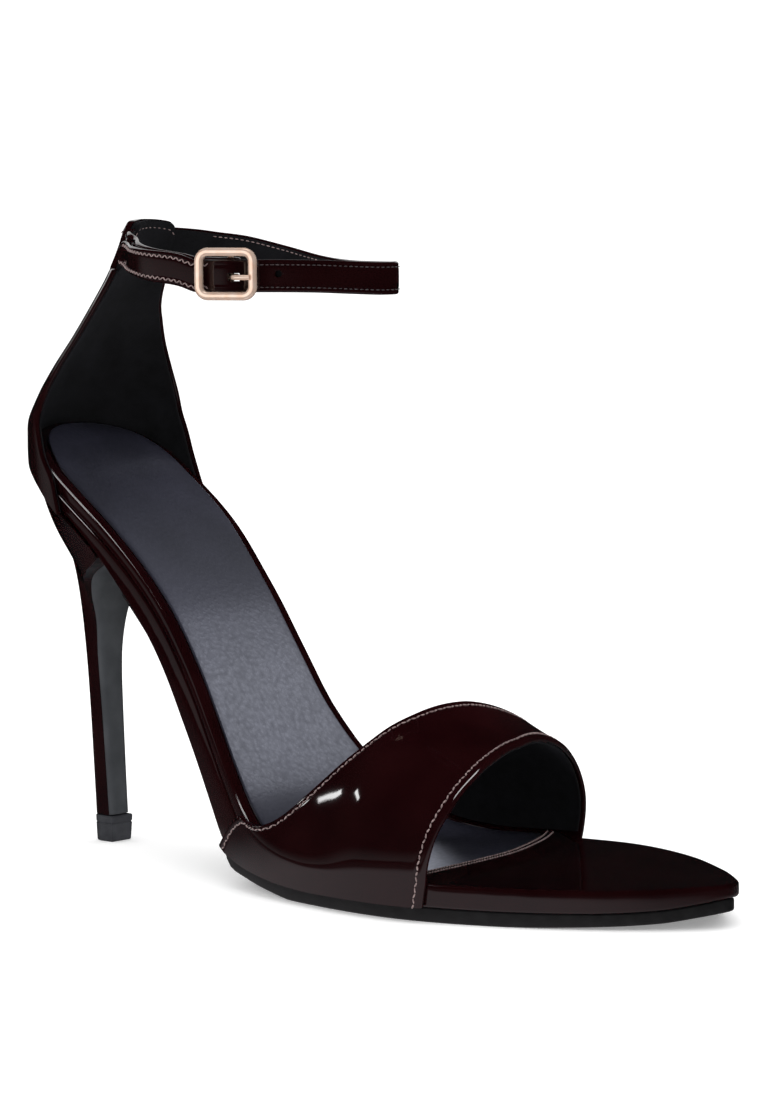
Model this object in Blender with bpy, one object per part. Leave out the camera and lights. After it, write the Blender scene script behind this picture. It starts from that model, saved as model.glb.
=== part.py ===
# Strappy heeled sandal, right shoe: a wrapped footbed on a slim heel, an open heel counter that carries
# a buckled ankle strap, and one wide band over the forefoot.
# Metres, +Z up. +X runs from heel to toe, -Y is the lateral side, z = 0 is the floor.
# The origin is under the middle of the whole sandal.

from math import cos, degrees, hypot, pi, radians, sin, sqrt

import bmesh
import bpy
import numpy as np
from mathutils import Vector

MM = 0.001

# Driving sizes
LENGTH = 218 * MM            # footbed, measured flat along the floor
HEEL_RISE = 109 * MM         # top of the footbed at the back of the seat
BALL_LATERAL = 41.5 * MM     # half-widths of the footbed at the ball, either side of the axis
BALL_MEDIAL = 37.8 * MM
SEAT_HALF = 24.2 * MM        # half-width of the round heel seat
TOE_SPRING = 3.6 * MM

# Thicknesses
FOOTBED = 5.3 * MM
OUTSOLE = 3.4 * MM
LINING = 0.8 * MM
COUNTER_WALL = 1.8 * MM
BAND_WALL = 1.7 * MM
STRAP_THICK = 1.5 * MM
BREAST_THICK = 0.8 * MM
GAP = 0.3 * MM               # between pieces that are glued or stitched together

# Sole
LINING_INSET = 3.2 * MM      # rim of the footbed left bare round the lining
OUTSOLE_INSET = 1.0 * MM      # the outsole's edge runs in from the footbed's
WAIST_INSET = 4.5 * MM       # the outsole runs in from the edge under the arch
EDGE_ROUND = 0.9 * MM

# Heel
LIFT_HEIGHT = 6.8 * MM
LIFT_OVERHANG = 0.3 * MM
STEM_LENGTH = 6.4 * MM       # at its foot, front to back, without the breast panel
STEM_HALF = 3.5 * MM
STEM_BACK = 12.0 * MM        # back of the stem's foot, from the back of the footbed
HEEL_TOP_LENGTH = 36 * MM

# Heel counter
COUNTER_RISE = 53 * MM       # from the seat to the top of its casing
COUNTER_HALF = 26.5 * MM     # outside half-width at the seat
CASING_SKIN = 1.1 * MM
CASING_DROP = 1.2 * MM       # of its top edge, from the middle to the ends
CASING_LATERAL = 30          # degrees round from the back
CASING_MEDIAL = 36

# Toe band
BAND_RISE = 45 * MM          # crown of the last above the footbed where the band sits highest

# Ankle strap and buckle
STRAP_WIDTH = 8 * MM
STRAP_TOP = 160 * MM         # upper edge at the back of the ankle
LOOP_LENGTH = 84.9 * MM      # inside of the fastened loop, back to front
LOOP_HALF = 24.8 * MM
LOOP_BACK = 29.6 * MM        # back of the loop, from the back of the footbed
BUCKLE_LENGTH = 16 * MM
BUCKLE_HEIGHT = 12.9 * MM
BUCKLE_BAR = 2.1 * MM
BUCKLE_THICK = 2 * MM
BUCKLE_CORNER = 3.4 * MM
BAR_RADIUS = 0.8 * MM
PRONG_RADIUS = 0.65 * MM
PRONG_DROP = 0.8 * MM        # the prong sits this much below the strap's middle
HOLE_RADIUS = 0.9 * MM
HOLE_SPACING = 10.5 * MM

BURGUNDY = (0.012, 0.0025, 0.003)
BLACK = (0.008, 0.008, 0.009)
GREY = (0.045, 0.047, 0.05)
ROSE_GOLD = (0.80, 0.55, 0.42)


def clear_scene():
    for old in list(bpy.data.objects):
        bpy.data.objects.remove(old)


def material(name, colour, roughness, metallic=0.0):
    """A Principled material of one plain finish."""
    made = bpy.data.materials.new(name)
    made.use_nodes = True
    shader = made.node_tree.nodes["Principled BSDF"]
    shader.inputs["Base Color"].default_value = (*colour, 1)
    shader.inputs["Roughness"].default_value = roughness
    shader.inputs["Metallic"].default_value = metallic
    return made


def column(table, name):
    """One named column of a table whose first row holds the names."""
    at = table[0].index(name)
    return [row[at] for row in table[1:]]


def smooth(xs, ys):
    """A monotone cubic through the points, which never overshoots and stays level between equal values."""
    xs, ys = np.array(xs, float), np.array(ys, float)
    step = np.diff(xs)
    rise = np.diff(ys) / step
    slope = np.zeros(len(xs))
    for i in range(1, len(xs) - 1):
        if rise[i - 1] * rise[i] > 0:
            before, after = 2 * step[i] + step[i - 1], step[i] + 2 * step[i - 1]
            slope[i] = (before + after) / (before / rise[i - 1] + after / rise[i])
    slope[0], slope[-1] = rise[0], rise[-1]

    def curve(x):
        x = min(max(x, xs[0]), xs[-1])
        i = min(int(np.searchsorted(xs, x, side="right")) - 1, len(step) - 1)
        t = (x - xs[i]) / step[i]
        return float(
            ys[i] * (1 + 2 * t) * (1 - t) ** 2
            + slope[i] * step[i] * t * (1 - t) ** 2
            + ys[i + 1] * t * t * (3 - 2 * t)
            + slope[i + 1] * step[i] * t * t * (t - 1)
        )

    return curve


def through(points, per_segment, closed=False):
    """A smooth line through points (centripetal spacing), with this many steps between each two."""
    points = [np.array(p, float) for p in points]
    if closed:
        points = [points[-1], *points, points[0], points[1]]
    else:
        points = [2 * points[0] - points[1], *points, 2 * points[-1] - points[-2]]
    line = []
    for a, b, c, d in zip(points, points[1:], points[2:], points[3:]):
        ta = 0.0
        tb = ta + max(np.linalg.norm(b - a), 1e-9) ** 0.5
        tc = tb + max(np.linalg.norm(c - b), 1e-9) ** 0.5
        td = tc + max(np.linalg.norm(d - c), 1e-9) ** 0.5
        for k in range(per_segment):
            t = tb + (tc - tb) * k / per_segment
            ab = a + (b - a) * (t - ta) / (tb - ta)
            bc = b + (c - b) * (t - tb) / (tc - tb)
            cd = c + (d - c) * (t - tc) / (td - tc)
            left = ab + (bc - ab) * (t - ta) / (tc - ta)
            right = bc + (cd - bc) * (t - tb) / (td - tb)
            line.append(left + (right - left) * (t - tb) / (tc - tb))
    if not closed:
        line.append(points[-2])
    return np.array(line)


# The sole's side view. x is a share of LENGTH and the heights are shares of the heel's rise over the forefoot.
PROFILE = (
    ("x", "top", "under", "outsole"),
    (0.000, 1.000, 0.983, 0.960),
    (0.046, 0.958, 0.938, 0.915),
    (0.110, 0.860, 0.837, 0.814),
    (0.165, 0.772, 0.735, 0.712),
    (0.206, 0.698, 0.641, 0.619),
    (0.252, 0.604, 0.523, 0.500),
    (0.280, 0.541, 0.438, 0.413),
    (0.307, 0.470, 0.345, 0.320),
    (0.335, 0.392, 0.252, 0.226),
    (0.362, 0.308, 0.161, 0.134),
    (0.378, 0.260, 0.108, 0.083),
    (0.390, 0.223, 0.072, 0.052),
    (0.404, 0.185, 0.050, 0.038),
    (0.431, 0.118, 0.033, 0.028),
    (0.459, 0.070, 0.022, 0.019),
    (0.491, 0.034, 0.012, 0.009),
    (0.528, 0.011, 0.004, 0.000),
    (0.580, 0.000, 0.000, 0.000),
    (1.000, 0.000, 0.000, 0.000),
)
# The toe's upturn: x is a share of LENGTH, the rest shares of TOE_SPRING.
SPRING = (
    ("x", "top", "under", "outsole"),
    (0.000, 0.00, 0.00, 0.00),
    (0.800, 0.00, 0.00, 0.00),
    (0.885, 0.03, 0.05, 0.15),
    (0.945, 0.15, 0.28, 0.42),
    (0.980, 0.30, 0.70, 0.85),
    (1.000, 0.40, 1.05, 1.15),
)
# The footbed's thickness in the side view, as a share of FOOTBED.
BOARD = (("x", "thick"), (0.0, 0.76), (0.2, 0.72), (0.3, 0.88), (0.4, 1.0), (1.0, 1.0))
# The footbed's outline from the heel to the toe: half-widths as shares of the ball's.
OUTLINE = (
    ("x", "lateral", "medial"),
    (0.120, 0.582, 0.636),
    (0.180, 0.578, 0.620),
    (0.250, 0.578, 0.530),
    (0.310, 0.625, 0.465),
    (0.360, 0.690, 0.450),
    (0.410, 0.772, 0.545),
    (0.473, 0.885, 0.665),
    (0.586, 0.988, 0.850),
    (0.676, 1.000, 0.985),
    (0.743, 0.932, 1.010),
    (0.833, 0.742, 0.855),
    (0.923, 0.445, 0.520),
    (0.968, 0.245, 0.280),
    (0.992, 0.110, 0.120),
)

RISE = HEEL_RISE - FOOTBED - GAP - OUTSOLE


def height(name, base):
    """A height along the sole: the heel's rise, the toe's upturn and what lies under it at the forefoot."""
    lift = smooth(column(PROFILE, "x"), column(PROFILE, name))
    spring = smooth(column(SPRING, "x"), column(SPRING, name))
    return lambda x: base + RISE * lift(x / LENGTH) + TOE_SPRING * spring(x / LENGTH)


footbed_top = height("top", OUTSOLE + GAP + FOOTBED)
shank_under = height("under", OUTSOLE + GAP)
outsole_under = height("outsole", 0)
board = smooth(column(BOARD, "x"), column(BOARD, "thick"))


def footbed_under(x):
    """Underside of the footbed, no lower than the sole line that it thins towards at the toe."""
    return max(footbed_top(x) - FOOTBED * board(x / LENGTH), shank_under(x))


def outline_points():
    """The footbed's closed outline in plan: a round seat, then the lateral side, the toe and the medial side."""
    seat = [(SEAT_HALF * (1 - cos(radians(a))), SEAT_HALF * sin(radians(a))) for a in (25, 50, 75)]
    xs = [LENGTH * x for x in column(OUTLINE, "x")]
    lateral = [(x, -BALL_LATERAL * w) for x, w in zip(xs, column(OUTLINE, "lateral"))]
    medial = [(x, BALL_MEDIAL * w) for x, w in zip(xs, column(OUTLINE, "medial"))]
    lateral = [(x, -y) for x, y in seat] + lateral
    medial = seat + medial
    return [(0, 0), *lateral, (LENGTH, 0), *medial[::-1]]


EDGE = through(outline_points(), 12, closed=True)


def inset_sides(inset):
    """Lateral and medial half-outlines after moving the outline inwards, each as (x, half-width) rows."""
    ahead = np.roll(EDGE, -1, axis=0) - np.roll(EDGE, 1, axis=0)
    ahead /= np.linalg.norm(ahead, axis=1)[:, None]
    moved = EDGE + inset * np.stack([-ahead[:, 1], ahead[:, 0]], axis=1)
    toe = len(EDGE) // 2
    lateral, medial = moved[: toe + 1], np.vstack([moved[toe:], moved[:1]])[::-1]
    sides = []
    for side in (lateral, medial):
        xs = np.maximum.accumulate(side[:, 0])
        sides.append((xs, np.abs(side[:, 1])))
    return sides


SIDES = {}


def half_width(x, side, inset=0.0):
    """Half-width of the inset outline at x; side 0 is lateral and 1 is medial."""
    if inset not in SIDES:
        SIDES[inset] = inset_sides(inset)
    xs, widths = SIDES[inset][side]
    return float(np.interp(x, xs, widths))


def new_object(name, mesh, finish):
    obj = bpy.data.objects.new(name, mesh)
    obj.data.materials.append(finish)
    bpy.context.scene.collection.objects.link(obj)
    return obj


def mesh_from(name, points, faces):
    """A mesh with coinciding points made one, collapsed faces dropped and normals facing out."""
    made = bmesh.new()
    index, keys, verts = [], {}, []
    for point in points:
        key = tuple(round(c * 1e7) for c in point)
        if key not in keys:
            keys[key] = len(verts)
            verts.append(made.verts.new(point))
        index.append(keys[key])
    for face in faces:
        loop = []
        for corner in face:
            if index[corner] not in loop:
                loop.append(index[corner])
        if len(loop) > 2:
            made.faces.new([verts[i] for i in loop])
    bmesh.ops.recalc_face_normals(made, faces=made.faces)
    mesh = bpy.data.meshes.new(name)
    made.to_mesh(mesh)
    made.free()
    mesh.shade_smooth()
    mesh.set_sharp_from_angle(angle=radians(35))
    return mesh


def closed_grid(name, outer, inner, finish, rims=()):
    """A wall between two grids of points [row][column], closed round all four sides.

    rims holds further closed loops of points, from the outer boundary to the inner one."""
    rows, columns = len(outer), len(outer[0])
    points = [p for row in outer for p in row] + [p for row in inner for p in row]
    loop = [(r, 0) for r in range(rows)] + [(rows - 1, c) for c in range(1, columns)]
    loop += [(r, columns - 1) for r in range(rows - 2, -1, -1)] + [(0, c) for c in range(columns - 2, 0, -1)]
    at = lambda r, c, sheet: sheet * rows * columns + r * columns + c
    faces = []
    for r in range(rows - 1):
        for c in range(columns - 1):
            for sheet in (0, 1):
                corners = [at(r, c, sheet), at(r, c + 1, sheet), at(r + 1, c + 1, sheet), at(r + 1, c, sheet)]
                faces.append(corners if sheet else corners[::-1])
    rings = [[at(r, c, 0) for r, c in loop]]
    for rim in rims:
        rings.append([len(points) + i for i in range(len(rim))])
        points.extend(rim)
    rings.append([at(r, c, 1) for r, c in loop])
    for first, second in zip(rings, rings[1:]):
        for i in range(len(loop)):
            j = (i + 1) % len(loop)
            faces.append([first[i], first[j], second[j], second[i]])
    return new_object(name, mesh_from(name, points, faces), finish)


STATION = 4 * MM             # between cross-sections of the sole, which all of its layers share
ROUND_END = 24 * MM
ROUND_ROWS = 9


def spaced(start, end, ends="both"):
    """Stations from start to end: shared ones in the middle, closer together towards the round ends."""
    low = start + (ROUND_END if ends in ("both", "first") else 0)
    high = end - (ROUND_END if ends in ("both", "last") else 0)
    middle = [k * STATION for k in range(100) if low + STATION / 3 < k * STATION < high - STATION / 3]
    shares = [1 - cos(pi / 2 * k / ROUND_ROWS) for k in range(ROUND_ROWS)]
    first = [start + (low - start) * t for t in shares] if low > start else []
    last = [end - (end - high) * t for t in shares[::-1]] if high < end else []
    return [*first, low, *middle, high, *last]


def slab(name, finish, start, end, top, under, inset, rounding, columns, ends="both", seam=None):
    """A layer of the sole with the footbed's outline moved in by inset(x), and softly rounded edges.

    seam(share across) moves the front edge, where the layer stops before the toe."""

    def plan(extra):
        first = start + (extra if ends in ("both", "first") else 0)
        last = end - (extra if ends in ("both", "last") else 0)
        rows = []
        for x in spaced(first, last, ends):
            row = []
            for c in range(columns):
                across = c / (columns - 1)
                px = x
                if seam:
                    px += (seam(across) - end) * max(x - last + SEAM_ZONE, 0) / SEAM_ZONE
                lateral = half_width(px, 0, inset(px) + extra)
                medial = half_width(px, 1, inset(px) + extra)
                row.append((px, -lateral + across * (lateral + medial)))
            rows.append(row)
        return rows

    def boundary(rows):
        n, m = len(rows), len(rows[0])
        loop = [rows[r][0] for r in range(n)] + [rows[n - 1][c] for c in range(1, m)]
        return loop + [rows[r][m - 1] for r in range(n - 2, -1, -1)] + [rows[0][c] for c in range(m - 2, 0, -1)]

    face, side = plan(rounding), plan(0)
    upper = [[(x, y, top(x)) for x, y in row] for row in face]
    lower = [[(x, y, under(x)) for x, y in row] for row in face]
    drop = [(x, y, top(x) - (top(x) - under(x)) * 0.3) for x, y in boundary(side)]
    foot = [(x, y, top(x) - (top(x) - under(x)) * 0.7) for x, y in boundary(side)]
    return closed_grid(name, upper, lower, finish, (drop, foot))


# The seam where the lining meets the patent toe: share across the sole, place along LENGTH.
SEAM_ZONE = 45 * MM
SEAM = (("across", "x"), (0.0, 0.700), (0.5, 0.684), (0.8, 0.652), (1.0, 0.620))


def make_footbed(finish):
    return slab("footbed", finish, 0, LENGTH, footbed_top, footbed_under, lambda x: 0, EDGE_ROUND, 9)


def make_sock_lining(finish):
    seam = smooth(column(SEAM, "across"), column(SEAM, "x"))
    under = lambda x: footbed_top(x) + GAP
    top = lambda x: under(x) + LINING
    return slab(
        "sock_lining", finish, LINING_INSET, SEAM[1][1] * LENGTH, top, under,
        lambda x: LINING_INSET, LINING / 4, 9, "first", lambda across: seam(across) * LENGTH,
    )


SHANK_END = 0.46             # share of LENGTH where the shank cover tapers out under the band


def make_shank_cover(finish):
    top = lambda x: footbed_under(x) - GAP
    under = lambda x: shank_under(x)
    return slab(
        "shank_cover", finish, 0, SHANK_END * LENGTH, top, under,
        lambda x: 0, EDGE_ROUND, 7, "first",
    )


OUTSOLE_START = 0.185        # share of LENGTH, just in front of the heel's breast


def make_outsole(finish):
    run_in = smooth((0, 0.34, 0.41, 1), (WAIST_INSET, WAIST_INSET, OUTSOLE_INSET, OUTSOLE_INSET))
    top = lambda x: shank_under(x) - GAP
    return slab(
        "outsole", finish, OUTSOLE_START * LENGTH, LENGTH - OUTSOLE_INSET, top, outsole_under,
        lambda x: run_in(x / LENGTH), EDGE_ROUND * 0.8, 7, "last",
    )


# Sections of the heel from its foot to the seat: up is a share of the height at each point, back and front
# are shares of the way from the stem's foot to the seat's, half is a share of the way to the seat's half-width.
HEEL = (
    ("up", "back", "front", "half", "round"),
    (0.000, 0.000, 0.000, 0.000, 0.50),
    (0.150, 0.058, -0.039, 0.007, 0.50),
    (0.285, 0.115, -0.072, 0.014, 0.51),
    (0.410, 0.178, -0.102, 0.023, 0.51),
    (0.534, 0.269, -0.131, 0.038, 0.52),
    (0.610, 0.348, -0.138, 0.054, 0.54),
    (0.670, 0.430, -0.138, 0.076, 0.55),
    (0.720, 0.518, -0.138, 0.108, 0.57),
    (0.765, 0.614, -0.137, 0.156, 0.59),
    (0.805, 0.698, -0.107, 0.233, 0.61),
    (0.840, 0.773, -0.056, 0.330, 0.63),
    (0.870, 0.826, 0.015, 0.439, 0.65),
    (0.900, 0.865, 0.140, 0.570, 0.68),
    (0.925, 0.895, 0.323, 0.690, 0.71),
    (0.944, 0.920, 0.507, 0.780, 0.73),
    (0.965, 0.950, 0.723, 0.866, 0.76),
    (0.985, 0.979, 0.883, 0.942, 0.78),
    (1.000, 1.000, 1.000, 1.000, 0.80),
)
SEAT_FLUSH = COUNTER_WALL + GAP - 0.2 * MM   # the heel's top follows the counter's outside


def heel_top_half(x, side):
    """Half-width of the heel's top: flush with the counter at the back and with the shank in front."""
    share = min(max((HEEL_TOP_LENGTH * 0.9 - x) / (HEEL_TOP_LENGTH * 0.4), 0), 1)
    return half_width(x, side) + SEAT_FLUSH * share


def heel_section(up, back, front, half, rounding):
    """One closed ring of the heel, from the lateral front corner round the back to the medial one."""
    top_back, top_front = -SEAT_FLUSH, HEEL_TOP_LENGTH
    x_back = STEM_BACK + (top_back - STEM_BACK) * back
    stem_front = STEM_BACK + STEM_LENGTH
    x_front = stem_front + (top_front - stem_front) * front
    ring = []
    count = 12
    for side, sign, order in ((0, -1, range(count, 0, -1)), (1, 1, range(0, count + 1))):
        for k in order:
            share = 1 - cos(pi / 2 * k / count)
            top_x = top_back + (top_front - top_back) * share
            x = x_back + (x_front - x_back) * share
            reach = min(share / rounding, 1)
            stem = STEM_HALF * sqrt(max(1 - (1 - reach) ** 2, 0))
            seat = SEAT_HALF * sqrt(max(1 - (1 - reach) ** 2, 0))
            if up == 1:
                seat = heel_top_half(top_x, side) if k else 0
            y = stem + (seat - stem) * half
            roof = shank_under(max(top_x, 0)) - GAP
            foot = LIFT_HEIGHT + GAP
            ring.append((x, sign * y, foot + (roof - foot) * up))
    return ring


def capped_rings(name, rings, finish):
    """A closed body through rings of points, with flat-fan caps."""
    points = [p for ring in rings for p in ring]
    count = len(rings[0])
    faces = []
    for r in range(len(rings) - 1):
        for i in range(count):
            j = (i + 1) % count
            faces.append([r * count + i, r * count + j, (r + 1) * count + j, (r + 1) * count + i])
    for ring in (0, len(rings) - 1):
        across = count // 2
        for i in range(across):
            a, b = ring * count + i, ring * count + i + 1
            c, d = ring * count + count - 2 - i, ring * count + count - 1 - i
            faces.append([a, b, c, d] if b < c else [a, b, d])
            if b + 1 >= c:
                break
    return new_object(name, mesh_from(name, points, faces), finish)


def make_heel(finish):
    rings = [heel_section(*row) for row in HEEL[1:]]
    return capped_rings("heel", rings, finish)


def make_heel_breast(finish):
    """The panel on the heel's front, which sweeps forward under the shank."""
    rings = [heel_section(*row) for row in HEEL[1:-1]]
    fronts = [(ring[0], ring[-1]) for ring in rings]
    middle = [((a[0] + b[0]) / 2, (a[2] + b[2]) / 2) for a, b in fronts]
    outer, inner = [], []
    for i, (a, b) in enumerate(fronts):
        before, after = middle[max(i - 1, 0)], middle[min(i + 1, len(middle) - 1)]
        run, climb = after[0] - before[0], after[1] - before[1]
        size = hypot(run, climb)
        normal = (climb / size, -run / size)
        half = (b[1] - a[1]) / 2 - GAP
        near, far = [], []
        for c in range(5):
            y = (a[1] + b[1]) / 2 + half * (c / 2 - 1)
            near.append((middle[i][0] + normal[0] * GAP, y, middle[i][1] + normal[1] * GAP))
            depth = GAP + BREAST_THICK
            far.append((middle[i][0] + normal[0] * depth, y, middle[i][1] + normal[1] * depth))
        inner.append(near)
        outer.append(far)
    return closed_grid("heel_breast", outer, inner, finish)


def make_top_lift(finish):
    section = heel_section(*HEEL[1])
    centre_x = STEM_BACK + STEM_LENGTH / 2
    front = BREAST_THICK + GAP

    def ring(z, grow):
        points = []
        for x, y, _ in section:
            share = (x - STEM_BACK) / STEM_LENGTH
            along = centre_x + (x - centre_x) * (1 + 2 * grow / STEM_LENGTH) + front * share
            points.append((along, y * (1 + grow / STEM_HALF), z))
        return points

    return capped_rings("top_lift", [ring(0, 0.0), ring(LIFT_HEIGHT, LIFT_OVERHANG)], finish)


# The counter's outside from under the seat to the casing: up is a share of COUNTER_RISE over the seat,
# back and half are shares of COUNTER_HALF, the edges are degrees round from the back.
COUNTER = (
    ("up", "back", "half", "lateral", "medial"),
    (-0.470, 0.070, 1.015, 82, 88),
    (-0.264, -0.040, 1.012, 82, 84),
    (-0.113, -0.079, 1.004, 73, 81),
    (0.000, -0.079, 1.000, 68, 77),
    (0.132, 0.042, 0.981, 62, 69),
    (0.283, 0.249, 0.928, 59, 58),
    (0.434, 0.490, 0.845, 58, 47),
    (0.585, 0.706, 0.758, 59, 39),
    (0.736, 0.906, 0.672, 61, 36),
    (0.868, 1.042, 0.611, 61, 36),
    (1.000, 1.151, 0.589, 61, 36),
)


def counter_curve(name, size=COUNTER_HALF):
    share = smooth(column(COUNTER, "up"), column(COUNTER, name))
    return lambda z: size * share((z - HEEL_RISE) / COUNTER_RISE)


counter_back = counter_curve("back")
counter_half = counter_curve("half")
counter_lateral = counter_curve("lateral", 1)
counter_medial = counter_curve("medial", 1)


def counter_point(angle, z, inwards):
    """A point of the counter, degrees round from the back, moved in from its outside."""
    half = counter_half(z) - inwards
    turn = radians(angle)
    return (counter_back(z) + inwards + half * (1 - cos(turn)), half * sin(turn), z)


def in_casing(angle):
    return -CASING_LATERAL <= angle <= CASING_MEDIAL


def make_counter(finish):
    """The open heel cup: its wall swells into a casing for the strap at the back of the ankle."""
    casing_top = HEEL_RISE + COUNTER_RISE
    casing_foot = STRAP_TOP - STRAP_WIDTH - 3.4 * MM
    side_top = STRAP_TOP - STRAP_WIDTH - 3.0 * MM
    swell = (2 * CASING_SKIN + STRAP_THICK + 2 * GAP - COUNTER_WALL) / 2
    angles = [-61, -54, -47, -40, -34, -30.4, -29.8, -24, -16, -8, 0, 7, 14, 21, 27, 32, 36]
    low, high = angles[0], angles[-1]
    outer, inner = [], []
    for angle in angles:
        share = angle / (-low if angle < 0 else high)
        edge = counter_lateral if angle < 0 else counter_medial
        cased = in_casing(angle)
        top = casing_top - CASING_DROP * (angle / CASING_MEDIAL) ** 2 if cased else side_top
        x = 0
        for _ in range(4):
            foot = shank_under(max(x, 0))
            x = counter_point(share * edge(foot), foot, 0)[0]
        out_column, in_column = [], []
        heights = list(np.linspace(foot, casing_foot - 1.5 * MM, 15))
        heights += [casing_foot, casing_foot + (top - casing_foot) * 0.12] if cased else [casing_foot - 0.8 * MM, casing_foot - 0.4 * MM]
        heights += list(np.linspace(heights[-1], top, 5))[1:]
        for z in heights:
            blend = min(max(1 - (casing_foot - z) / (12 * MM), 0), 1)
            turn = share * edge(z) * (1 - blend) + angle * blend
            grow = swell * min(max((z - casing_foot) / (2 * MM), 0), 1) if cased else 0
            out_column.append(counter_point(turn, z, -grow))
            in_column.append(counter_point(turn, z, COUNTER_WALL + grow))
        outer.append(out_column)
        inner.append(in_column)
    counter = closed_grid("heel_counter", outer, inner, finish)
    cutter = casing_cutter()
    cut(counter, cutter, "DIFFERENCE")
    return counter


# The last over the forefoot: crown is a share of BAND_RISE above the footbed, and the two roundness columns
# are the exponents of its arch on either side.
LAST = (
    ("x", "crown", "lateral", "medial"),
    (0.38, 1.060, 1.35, 1.55),
    (0.48, 1.045, 1.40, 1.60),
    (0.56, 1.000, 1.50, 1.70),
    (0.60, 0.940, 1.65, 1.75),
    (0.64, 0.862, 2.00, 1.80),
    (0.69, 0.730, 2.30, 1.80),
    (0.75, 0.630, 2.60, 1.80),
    (0.78, 0.600, 2.60, 1.80),
)
# The band's edges: round runs from the lateral foot (0) over the top to the medial foot (1).
BAND = (
    ("round", "back", "front"),
    (0.00, 0.394, 0.729),
    (0.08, 0.445, 0.733),
    (0.15, 0.502, 0.740),
    (0.25, 0.570, 0.750),
    (0.32, 0.610, 0.752),
    (0.40, 0.636, 0.748),
    (0.50, 0.647, 0.733),
    (0.60, 0.652, 0.712),
    (0.66, 0.645, 0.701),
    (0.71, 0.610, 0.690),
    (0.76, 0.558, 0.681),
    (0.82, 0.510, 0.672),
    (0.92, 0.455, 0.658),
    (1.00, 0.420, 0.653),
)
FLANK = 0.08                 # share of the way round that stands straight beside the sole
CROWN_OFF_AXIS = -5 * MM

crown = smooth(column(LAST, "x"), column(LAST, "crown"))
arch_lateral = smooth(column(LAST, "x"), column(LAST, "lateral"))
arch_medial = smooth(column(LAST, "x"), column(LAST, "medial"))


def last_point(x, around, inwards):
    """A point of the forefoot's last, moved in from the band's outside."""
    side = 0 if around < 0.5 else 1
    sign = -1 if side == 0 else 1
    reach = half_width(x, side) + GAP + BAND_WALL - inwards
    rim = footbed_top(x) + 0.5 * MM
    foot = shank_under(x)
    from_foot = around if side == 0 else 1 - around
    if from_foot < FLANK:
        return (x, sign * reach, foot + (rim - foot) * from_foot / FLANK)
    turn = pi / 2 * (from_foot - FLANK) / (0.5 - FLANK)
    power = (arch_lateral if side == 0 else arch_medial)(x / LENGTH)
    tall = BAND_RISE * crown(x / LENGTH) - inwards
    across = abs(cos(turn)) ** (2 / power)
    y = sign * reach * across + CROWN_OFF_AXIS * (1 - across)
    return (x, y, rim + tall * abs(sin(turn)) ** (2 / power))


def make_toe_band(finish):
    back = smooth(column(BAND, "round"), column(BAND, "back"))
    front = smooth(column(BAND, "round"), column(BAND, "front"))
    rounds = [0, 0.04, FLANK, *np.linspace(FLANK, 1 - FLANK, 33)[1:-1], 1 - FLANK, 0.96, 1]
    outer, inner = [], []
    for around in rounds:
        first, last = back(around) * LENGTH, front(around) * LENGTH
        xs = np.linspace(first, last, 13)
        outer.append([last_point(x, around, 0) for x in xs])
        inner.append([last_point(x, around, BAND_WALL) for x in xs])
    return closed_grid("toe_band", outer, inner, finish)


# The strap's way round the ankle. along is a share of LOOP_LENGTH from the back of the loop, aside a share of
# LOOP_HALF towards the medial side, drop a share of STRAP_WIDTH below STRAP_TOP.
BASE_ROUTE = (
    ("along", "aside", "drop"),
    (0.455, -0.995, 0.74),
    (0.320, -0.965, 0.58),
    (0.215, -0.800, 0.43),
    (0.134, -0.588, 0.28),
    (0.077, -0.499, 0.16),
    (0.024, -0.304, 0.05),
    (0.000, 0.000, 0.00),
    (0.024, 0.304, 0.03),
    (0.077, 0.499, 0.10),
    (0.134, 0.588, 0.18),
    (0.215, 0.790, 0.32),
    (0.330, 0.960, 0.63),
    (0.470, 0.975, 0.93),
    (0.620, 0.830, 1.04),
    (0.780, 0.590, 1.04),
    (0.900, 0.370, 1.02),
    (0.972, 0.180, 1.00),
)
FRONT_BEND = (("along", "aside", "drop"), (1.000, 0.030, 1.00), (0.985, -0.120, 1.00))
OUTER_ROUTE = (
    ("along", "aside", "drop"),
    (0.920, -0.290, 0.97),
    (0.840, -0.480, 0.93),
)
BUCKLE_ALONG, BUCKLE_ASIDE, BUCKLE_DROP = 0.605, -0.860, 0.85
BUCKLE_TURN = radians(24)    # the strap's direction there, towards the medial side


STRAP_LEAN = (("along", "lean"), (0.0, 0.47), (0.08, 0.36), (0.16, 0.16), (0.26, 0.0), (1.0, 0.0))
strap_lean = smooth(column(STRAP_LEAN, "along"), column(STRAP_LEAN, "lean"))


def strap_up(point):
    """The direction up the strap's face: it leans forward round the back of the ankle."""
    return Vector((strap_lean((point[0] - LOOP_BACK) / LOOP_LENGTH), 0, 1))


def route_point(row):
    along, aside, drop = row
    return (LOOP_BACK + LOOP_LENGTH * along, LOOP_HALF * aside, STRAP_TOP - STRAP_WIDTH * (0.5 + drop))


BUCKLE_AT = Vector(route_point((BUCKLE_ALONG, BUCKLE_ASIDE, BUCKLE_DROP)))
BUCKLE_RUN = Vector((cos(BUCKLE_TURN), sin(BUCKLE_TURN), 0))
BUCKLE_OUT = Vector((sin(BUCKLE_TURN), -cos(BUCKLE_TURN), 0))


def by_buckle(run, out, up=0.0):
    """A point placed from the buckle's centre bar, in millimetres along the strap, outwards and up."""
    return tuple(BUCKLE_AT + (BUCKLE_RUN * run + BUCKLE_OUT * out + Vector((0, 0, up))) * MM)


LAYER = STRAP_THICK + GAP
WRAP = BAR_RADIUS + GAP + STRAP_THICK / 2    # middle of the layer that folds round the centre bar
TAIL_OVER = WRAP + LAYER                     # middle of the tail where it crosses that layer


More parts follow.
